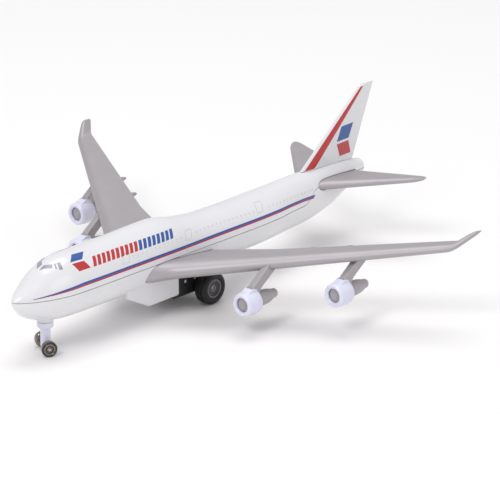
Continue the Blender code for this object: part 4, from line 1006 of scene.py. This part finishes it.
def make_body():
    """The two halves of the body, hollow, with engraved windows and doors in the upper one."""
    upper = half_body("body_upper", 1)
    lower = half_body("body_lower", -1)
    rings = []
    for k in range(CAVITY_STATIONS + 1):
        share = between(*CAVITY_SPAN, (k / CAVITY_STATIONS) ** STATION_CROWDING)
        rings.append(body_ring(NOSE_TIP_Y + BODY_LENGTH * share, 1.0, -WALL, CAVITY_POINTS))
    cavity = skin("cavity", rings)
    make_housing(lower, cavity)
    cut(upper, cavity)
    clear = BODY_SCREW_RADIUS + RUN_GAP
    post = BODY_SCREW_RADIUS + POST_WALL
    boss = BODY_SCREW_RADIUS + BOSS_WALL
    for k, from_nose in enumerate(BODY_SCREWS_FROM_NOSE):
        y = NOSE_TIP_Y + from_nose
        at = (0, y, 0)
        post_low = keel_z(y) + WALL / 2
        boss_high = top_z(y) - WALL / 2
        join(lower, rod(f"post_{k}", post_low, SEAM_HEIGHT - SEAM_GAP / 2, post, "Z", 32, at))
        join(upper, rod(f"boss_{k}", SEAM_HEIGHT + SEAM_GAP / 2, boss_high, boss, "Z", 32, at))
        seat_z = keel_z(y) + BODY_SCREW_SINK
        cut(lower, rod(f"counterbore_{k}", 0, seat_z, BODY_SCREW_HEAD + FIT_GAP, "Z", 32, at))
        cut(lower, rod(f"clear_{k}", 0, SEAM_HEIGHT + 1 * MM, clear, "Z", 24, at))
        cut(upper, rod(f"pilot_{k}", 0, SEAM_HEIGHT + PILOT_DEPTH, clear, "Z", 24, at))
    leg_at = (0, LEG_Y, 0)
    pad_z = keel_z(LEG_Y) - LEG_PAD
    boss_profile = rounded((
        (pad_z, COLLAR_RADIUS),
        (pad_z + 1.5 * MM, COLLAR_RADIUS),
        (pad_z + 2.2 * MM, LEG_BOSS_RADIUS),
        (pad_z + LEG_BOSS_HEIGHT, LEG_BOSS_RADIUS),
    ), 0.3 * MM)
    join(lower, turned("leg_boss", boss_profile, "Z", 48, leg_at))
    leg_hole_end = pad_z + LEG_BOSS_HEIGHT + WALL
    cut(lower, rod("leg_hole", 0, leg_hole_end, LEG_PEG_RADIUS + RUN_GAP, "Z", 32, leg_at))
    wing_room = bpy.data.objects["wing_room"]
    stab_room = both_sides("stab_room", stab_stations(), grow=FIT_GAP)
    cut(lower, wing_room, stab_room)
    cut(upper, wing_room, stab_room)
    slot = Vector((FIN_TAB.x, FIN_TAB.y, 0)) / 2 + Vector((RUN_GAP, RUN_GAP, 0))
    middle = Vector((0, (FIN_BASE_FRONT_Y + FIN_BASE_BACK_Y) / 2, 0))
    slot_low = middle - slot + UP * (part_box("tail_fin")[0].z - 0.1 * MM)
    cut(upper, block("fin_slot", slot_low, middle + slot + UP * (FIN_TIP_Z + 1 * MM)))
    cut(upper, film("windows", window_panels(), low=-ENGRAVING, high=CUTTER_RISE))
    frames = [door_outline(y) for y in DOOR_YS]
    cut(upper, film("doors", frames, low=-ENGRAVING, high=CUTTER_RISE, loop=True))
    shared = (cavity, wing_room, stab_room)
    settle(upper, keep=shared)
    settle(lower, keep=shared)
    bpy.data.objects.remove(cavity, do_unlink=True)
    bpy.data.objects.remove(stab_room, do_unlink=True)
    put(upper, "airframe", "white_plastic", "fuselage_upper")
    put(lower, "airframe", "white_plastic", "fuselage_lower")


# ---------------------------------------------------------------- livery
STRIPE_TOP = (
    (-107, 1.35), (-101, 2.35), (-93.4, 3.3), (-84.4, 3.95), (-70, 3.9), (-45, 3.95),
    (-15, 3.9), (35, 3.9), (55, 3.6), (65, 3.0),
)
STRIPE_BOTTOM = (
    (-107, 1.15), (-101, 1.75), (-93.4, 2.1), (-84.4, 2.4), (-70, 2.4), (-45, 2.45),
    (-15, 2.5), (35, 2.55), (55, 2.2), (65, 1.6),
)
STRIPE_END = 63.2 * MM
STRIPE_LEAN = 1.4 * MM
STRIPE_STEPS = 140
STRIPE_RED_SHARE = 0.38
BARS_RED = 10
BARS_BLUE = 8
BARS_START = -76.5 * MM
BAR_PITCH = 2.65 * MM
BAR_WIDTH = 1.75 * MM
BAR_LOW = 8.2 * MM
BAR_HIGH = 11.5 * MM
FIN_BAND_WIDE = 6.3 * MM
FIN_BAND_NARROW = 1.6 * MM
FIN_BAND_BACK = (2.1 * MM, 1.1 * MM)  # behind the fin's leading edge, at its foot and at its tip
FIN_BAND_ROWS = 30
# Corners (y in millimetres, angle in degrees from the left side), low front, low back, high back, high front
PANES = (
    ((-98.5, 85.5), (-94.65, 66.6), (-93.3, 74.6), (-95.9, 87.5)),
    ((-93.8, 61.3), (-93.2, 59.8), (-92.0, 72.3), (-92.7, 73.6)),
    ((-92.6, 55.4), (-91.2, 53.3), (-90.2, 69.0), (-91.6, 71.3)),
)
NOSE_MARKS = (
    ("nose_mark_red", ((-86.2, 54.5), (-79.8, 53.0), (-78.2, 38.0), (-84.6, 38.0)), RED_INK),
    ("nose_mark_blue", ((-86.4, 58.5), (-80.0, 57.0), (-76.4, 72.0), (-82.8, 74.0)), BLUE_INK),
)
# Corners (y, z) in millimetres, in the same order
FIN_MARKS = (
    ("fin_mark_blue", ((87.0, 47.2), (95.6, 47.2), (98.8, 53.8), (90.2, 53.8)), BLUE_INK),
    ("fin_mark_red", ((89.4, 39.8), (97.4, 39.8), (95.6, 46.0), (87.0, 46.0)), RED_INK),
)


def stripe(name, low_share, high_share, finish):
    rows = []
    for j in range(4):
        share = between(low_share, high_share, j / 3)
        row = []
        for k in range(STRIPE_STEPS + 1):
            t = k / STRIPE_STEPS
            y = between(STRIPE_TOP[0][0] * MM, STRIPE_END, t ** 1.2)
            rise = between(line_at(STRIPE_BOTTOM, y), line_at(STRIPE_TOP, y), share)
            row.append(over_seam(y + STRIPE_LEAN * share * t, rise))
        rows.append(row)
    return put(film(name, [rows], finish), "airframe", None)


def by_angle(y, degrees):
    return y, math.radians(degrees)


def print_livery():
    stripe("stripe_red", 0, STRIPE_RED_SHARE, RED_INK)
    stripe("stripe_blue", STRIPE_RED_SHARE, 1, BLUE_INK)

    patches = []
    for corners in PANES:
        patches.append(panel([(y * MM, angle) for y, angle in corners], 6, 6, by_angle))
    put(film("cockpit_panes", patches, PANE_GREY), "airframe", None)

    bars = []
    lean = LEAN * (BAR_HIGH - BAR_LOW)
    for k in range(BARS_RED + BARS_BLUE):
        y = BARS_START + BAR_PITCH * k
        bars.append(panel((
            (y, BAR_LOW), (y + BAR_WIDTH, BAR_LOW),
            (y + BAR_WIDTH + lean, BAR_HIGH), (y + lean, BAR_HIGH),
        )))
    put(film("side_bars_red", bars[:BARS_RED], RED_INK), "airframe", None)
    put(film("side_bars_blue", bars[BARS_RED:], BLUE_INK), "airframe", None)

    for name, corners, finish in NOSE_MARKS:
        patch = panel([(y * MM, angle) for y, angle in corners], 12, 12, by_angle)
        put(film(name, [patch], finish), "airframe", None)

    band = []
    for j in range(FIN_BAND_ROWS + 1):
        t = j / FIN_BAND_ROWS
        z = between(top_z(FIN_BASE_FRONT_Y) - 0.3 * MM, FIN_TIP_Z - 0.7 * MM, t)
        front = fin_lead_y(z) + between(*FIN_BAND_BACK, t)
        back = front + between(FIN_BAND_WIDE, FIN_BAND_NARROW, t ** 1.25)
        row = []
        for k in range(9):
            y = between(front, back, k / 8)
            row.append((y, max(z, top_z(y) + FIT_GAP + 0.1 * MM)))
        band.append(row)
    put(film("fin_band_red", [band], RED_INK, point=fin_point), "airframe", None)

    def as_is(y, z):
        return y, z

    for name, corners, finish in FIN_MARKS:
        patch = panel([(y * MM, z * MM) for y, z in corners], 10, 10, as_is)
        put(film(name, [patch], finish, point=fin_point), "airframe", None)


# ---------------------------------------------------------------- running gear
def paint_ring(obj, centre, axis, band, beyond, finish):
    """Another finish for the faces in a band of distances from an axis, and past a place along it."""
    obj.data.materials.append(finish)
    last = len(obj.data.materials) - 1
    for face in obj.data.polygons:
        arm = face.center - centre
        if band[0] < arm.cross(axis).length < band[1] and abs(arm.dot(axis)) > beyond:
            face.material_index = last


def make_main_wheels():
    back = TYRE_BACK_X
    face = TYRE_FACE_X
    groove = back + GROOVE_FROM_BACK
    groove_radius = WHEEL_RADIUS - GROOVE_DEPTH
    seat = HUB_RADIUS + RUN_GAP
    hub_face = face - 0.4 * MM
    bore = HUB_BORE
    for name, side in (("left", 1), ("right", -1)):
        tread = [
            (back, seat), (back, WHEEL_RADIUS * 0.87), (back + 0.8 * MM, WHEEL_RADIUS),
            (groove - 0.35 * MM, WHEEL_RADIUS), (groove - 0.12 * MM, groove_radius),
            (groove + 0.12 * MM, groove_radius), (groove + 0.35 * MM, WHEEL_RADIUS),
            (face - 0.9 * MM, WHEEL_RADIUS), (face - 0.1 * MM, WHEEL_RADIUS * 0.87),
            (face - 0.1 * MM, WHEEL_RADIUS * 0.80), (face, WHEEL_RADIUS * 0.78),
            (face, HUB_RADIUS + 0.7 * MM), (face - 0.35 * MM, seat),
        ]
        tread = [(side * x, r) for x, r in rounded(tread, 0.45 * MM, 4, True)]
        tyre = turned(f"tyre_fine_{name}", tread, "X", 96, AXLE, RUBBER, True)
        put(tyre, "main_wheels", "tyre_rubber", f"tyre_{name}")
        dish = [
            (back + 0.2 * MM, bore), (back + 0.2 * MM, HUB_RADIUS), (hub_face, HUB_RADIUS),
            (hub_face, HUB_RADIUS * 0.86), (hub_face - 1.1 * MM, HUB_RADIUS * 0.74),
            (hub_face - 1.5 * MM, HUB_RADIUS * 0.42), (hub_face - 0.7 * MM, HUB_RADIUS * 0.36),
            (hub_face - 0.7 * MM, bore),
        ]
        dish = [(side * x, r) for x, r in rounded(dish, 0.22 * MM, 3, True)]
        hub = turned(f"hub_fine_{name}", dish, "X", 64, AXLE, HUB_GREY, True)
        # the hub's bowl gets the darker grey: painted shade in its recess
        band = (HUB_RADIUS * 0.45, HUB_RADIUS * 0.8)
        paint_ring(hub, AXLE, Vector((1, 0, 0)), band, hub_face - 2 * MM, HUB_PAINTED_SHADE)
        put(hub, "main_wheels", "hub_plastic", f"hub_{name}")


def make_nose_gear():
    turn = Matrix.Translation((0, LEG_Y, 0)) @ Matrix.Rotation(LEG_YAW, 4, "Z")
    axle_at = (0, 0, NOSE_WHEEL_RADIUS)
    collar_top = keel_z(LEG_Y) - LEG_PAD - FIT_GAP
    collar_low = collar_top - COLLAR_HEIGHT
    peg_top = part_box("nose_leg")[1].z
    strut = rounded((
        (NOSE_WHEEL_RADIUS - STRUT_RADIUS * 0.9, 0.1 * MM),
        (NOSE_WHEEL_RADIUS - STRUT_RADIUS * 0.9, STRUT_RADIUS * 0.6),
        (NOSE_WHEEL_RADIUS - STRUT_RADIUS * 0.45, STRUT_RADIUS),
        (collar_low - 0.5 * MM, STRUT_RADIUS),
        (collar_low, STRUT_RADIUS + 0.5 * MM),
        (collar_low, COLLAR_RADIUS - 0.5 * MM),
        (collar_low + 0.5 * MM, COLLAR_RADIUS),
        (collar_top, COLLAR_RADIUS),
        (collar_top, LEG_PEG_RADIUS),
        (peg_top, LEG_PEG_RADIUS),
        (peg_top, 0.8 * MM),
    ), 0.4 * MM)
    leg = turned("nose_leg_fine", strut, "Z", 56, (0, 0, 0), COWL_WHITE, place=turn)
    hole = NOSE_AXLE_RADIUS + RUN_GAP
    cut(leg, rod("leg_axle_hole", -2 * STRUT_RADIUS, 2 * STRUT_RADIUS, hole, "X", 24, axle_at, turn))
    screw_hole = (peg_top - 4.25 * MM, peg_top + WALL, 0.69 * MM)
    cut(leg, rod("leg_screw_hole", *screw_hole, "Z", 24, place=turn))
    settle(leg)
    put(leg, "nose_gear", "cowl_plastic", "nose_leg")
    face = NOSE_WHEEL_FACE_X
    back = NOSE_WHEEL_INNER_X
    radius = NOSE_WHEEL_RADIUS
    for name, side in (("left", 1), ("right", -1)):
        rim = [
            (back, hole), (back, radius * 0.86), (back + 0.5 * MM, radius), (face - 0.5 * MM, radius),
            (face, radius * 0.9), (face, radius * 0.74), (face - 0.55 * MM, radius * 0.67),
            (face - 0.55 * MM, radius * 0.56), (face - 0.3 * MM, radius * 0.5),
            (face - 0.3 * MM, radius * 0.42), (face - 0.6 * MM, radius * 0.37),
            (face - 0.15 * MM, radius * 0.3), (face - 0.15 * MM, hole),
        ]
        rim = [(side * x, r) for x, r in rounded(rim, 0.16 * MM, 3, True)]
        wheel = turned(f"nose_wheel_fine_{name}", rim, "X", 72, axle_at, CHROME, True, turn)
        axis = turn.to_3x3() @ Vector((1, 0, 0))
        for inner, outer in ((0.76, 0.97), (0.41, 0.51)):
            band = (radius * inner, radius * outer)
            paint_ring(wheel, turn @ Vector(axle_at), axis, band, face - 1.4 * MM, MOTOR_BLACK)
        put(wheel, f"{name}_nose_wheel", "dark_chrome", f"nose_wheel_{name}")


# ---------------------------------------------------------------- CAD nodes that stay
def finish_frame_nodes():
    """The nodes that nothing stands for get their materials, and the visible ones soft edges."""
    looks = {
        "motor_case_left": (MOTOR_BLACK, 0), "motor_case_right": (MOTOR_BLACK, 0),
        "main_axle": (STEEL, 0), "nose_axle": (STEEL, 0), "mainspring": (SPRING_STEEL, 0),
        "axle_gear": (NYLON, 0), "idler_gear": (NYLON, 0), "spring_gear": (NYLON, 0),
        "motor_screw_front": (BLACK_STEEL, 0.06), "motor_screw_rear": (BLACK_STEEL, 0.06),
        "body_screw_front": (STEEL, 0.08), "body_screw_rear": (STEEL, 0.08),
        "nose_leg_screw": (STEEL, 0.08),
    }
    for node, (finish, edge) in looks.items():
        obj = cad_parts[node]
        obj.data.materials.clear()
        obj.data.materials.append(finish)
        if edge:
            weld = obj.modifiers.new("weld", "WELD")
            weld.merge_threshold = 0.002 * MM
            bevel(obj, edge * MM, 2)


# ---------------------------------------------------------------- floor, light and camera
CAMERA_TARGET = Vector((13.1, 15.3, 17.6)) * MM
CAMERA_DISTANCE = 1188.7 * MM
CAMERA_AZIMUTH = math.radians(42.23)
CAMERA_ELEVATION = math.radians(20.09)
CAMERA_ROLL = math.radians(-0.04)
CAMERA_LENS = 196.86
CAMERA_SENSOR = 36
FLOOR_REACH = 4
SKY_STRENGTH = 0.64
LIGHTS_AIM = Vector((0, 0, 0.02))
LIGHTS = (  # name, place, size, power
    ("key", (0.2, -1.1, 1.2), 0.6, 8),
    ("top", (-0.2, 0.3, 1.5), 1.0, 7.5),
    ("side", (1.4, 0.2, 0.8), 0.8, 2),
)


def make_floor():
    bm = bmesh.new()
    bmesh.ops.create_grid(bm, x_segments=4, y_segments=4, size=FLOOR_REACH)
    paper = finish_of("floor_paper", (0.92, 0.903, 0.897), 0.7, mottle=0.005, cloud=3, bump=0.01)
    floor = mesh_of("floor", bm, paper)


def soft_light(name, place, size, power):
    light = bpy.data.lights.new(name, "AREA")
    light.shape = "DISK"
    light.size = size
    light.energy = power
    obj = add_object(name, light)
    obj.location = place
    obj.rotation_euler = (LIGHTS_AIM - Vector(place)).to_track_quat("-Z", "Y").to_euler()


def make_studio():
    make_floor()
    world = bpy.data.worlds.new("studio")
    world.use_nodes = True
    sky = world.node_tree.nodes["Background"]
    sky.inputs["Color"].default_value = (0.97, 0.98, 1.0, 1)
    sky.inputs["Strength"].default_value = SKY_STRENGTH
    bpy.context.scene.world = world
    for light in LIGHTS:
        soft_light(*light)

    back = Vector((
        math.sin(CAMERA_AZIMUTH) * math.cos(CAMERA_ELEVATION),
        -math.cos(CAMERA_AZIMUTH) * math.cos(CAMERA_ELEVATION),
        math.sin(CAMERA_ELEVATION),
    ))
    data = bpy.data.cameras.new("camera")
    data.lens = CAMERA_LENS
    data.sensor_width = CAMERA_SENSOR
    data.clip_start = 0.05
    camera = add_object("camera", data)
    camera.rotation_mode = "QUATERNION"
    camera.location = CAMERA_TARGET + back * CAMERA_DISTANCE
    camera.rotation_quaternion = (
        (-back).to_track_quat("-Z", "Y") @ Matrix.Rotation(CAMERA_ROLL, 3, "Z").to_quaternion()
    )
    bpy.context.scene.camera = camera
    bpy.context.scene.view_settings.view_transform = "Standard"


# ---------------------------------------------------------------- the scene
both_sides("wing_room", wing_stations(), grow=WING_ROOM)
make_wing()
for engine_name in ("inner_left", "inner_right", "outer_left", "outer_right"):
    make_engine(engine_name)
make_body()
bpy.data.objects.remove(bpy.data.objects["wing_room"], do_unlink=True)
make_tail()
print_livery()
make_main_wheels()
make_nose_gear()
finish_frame_nodes()
make_studio()
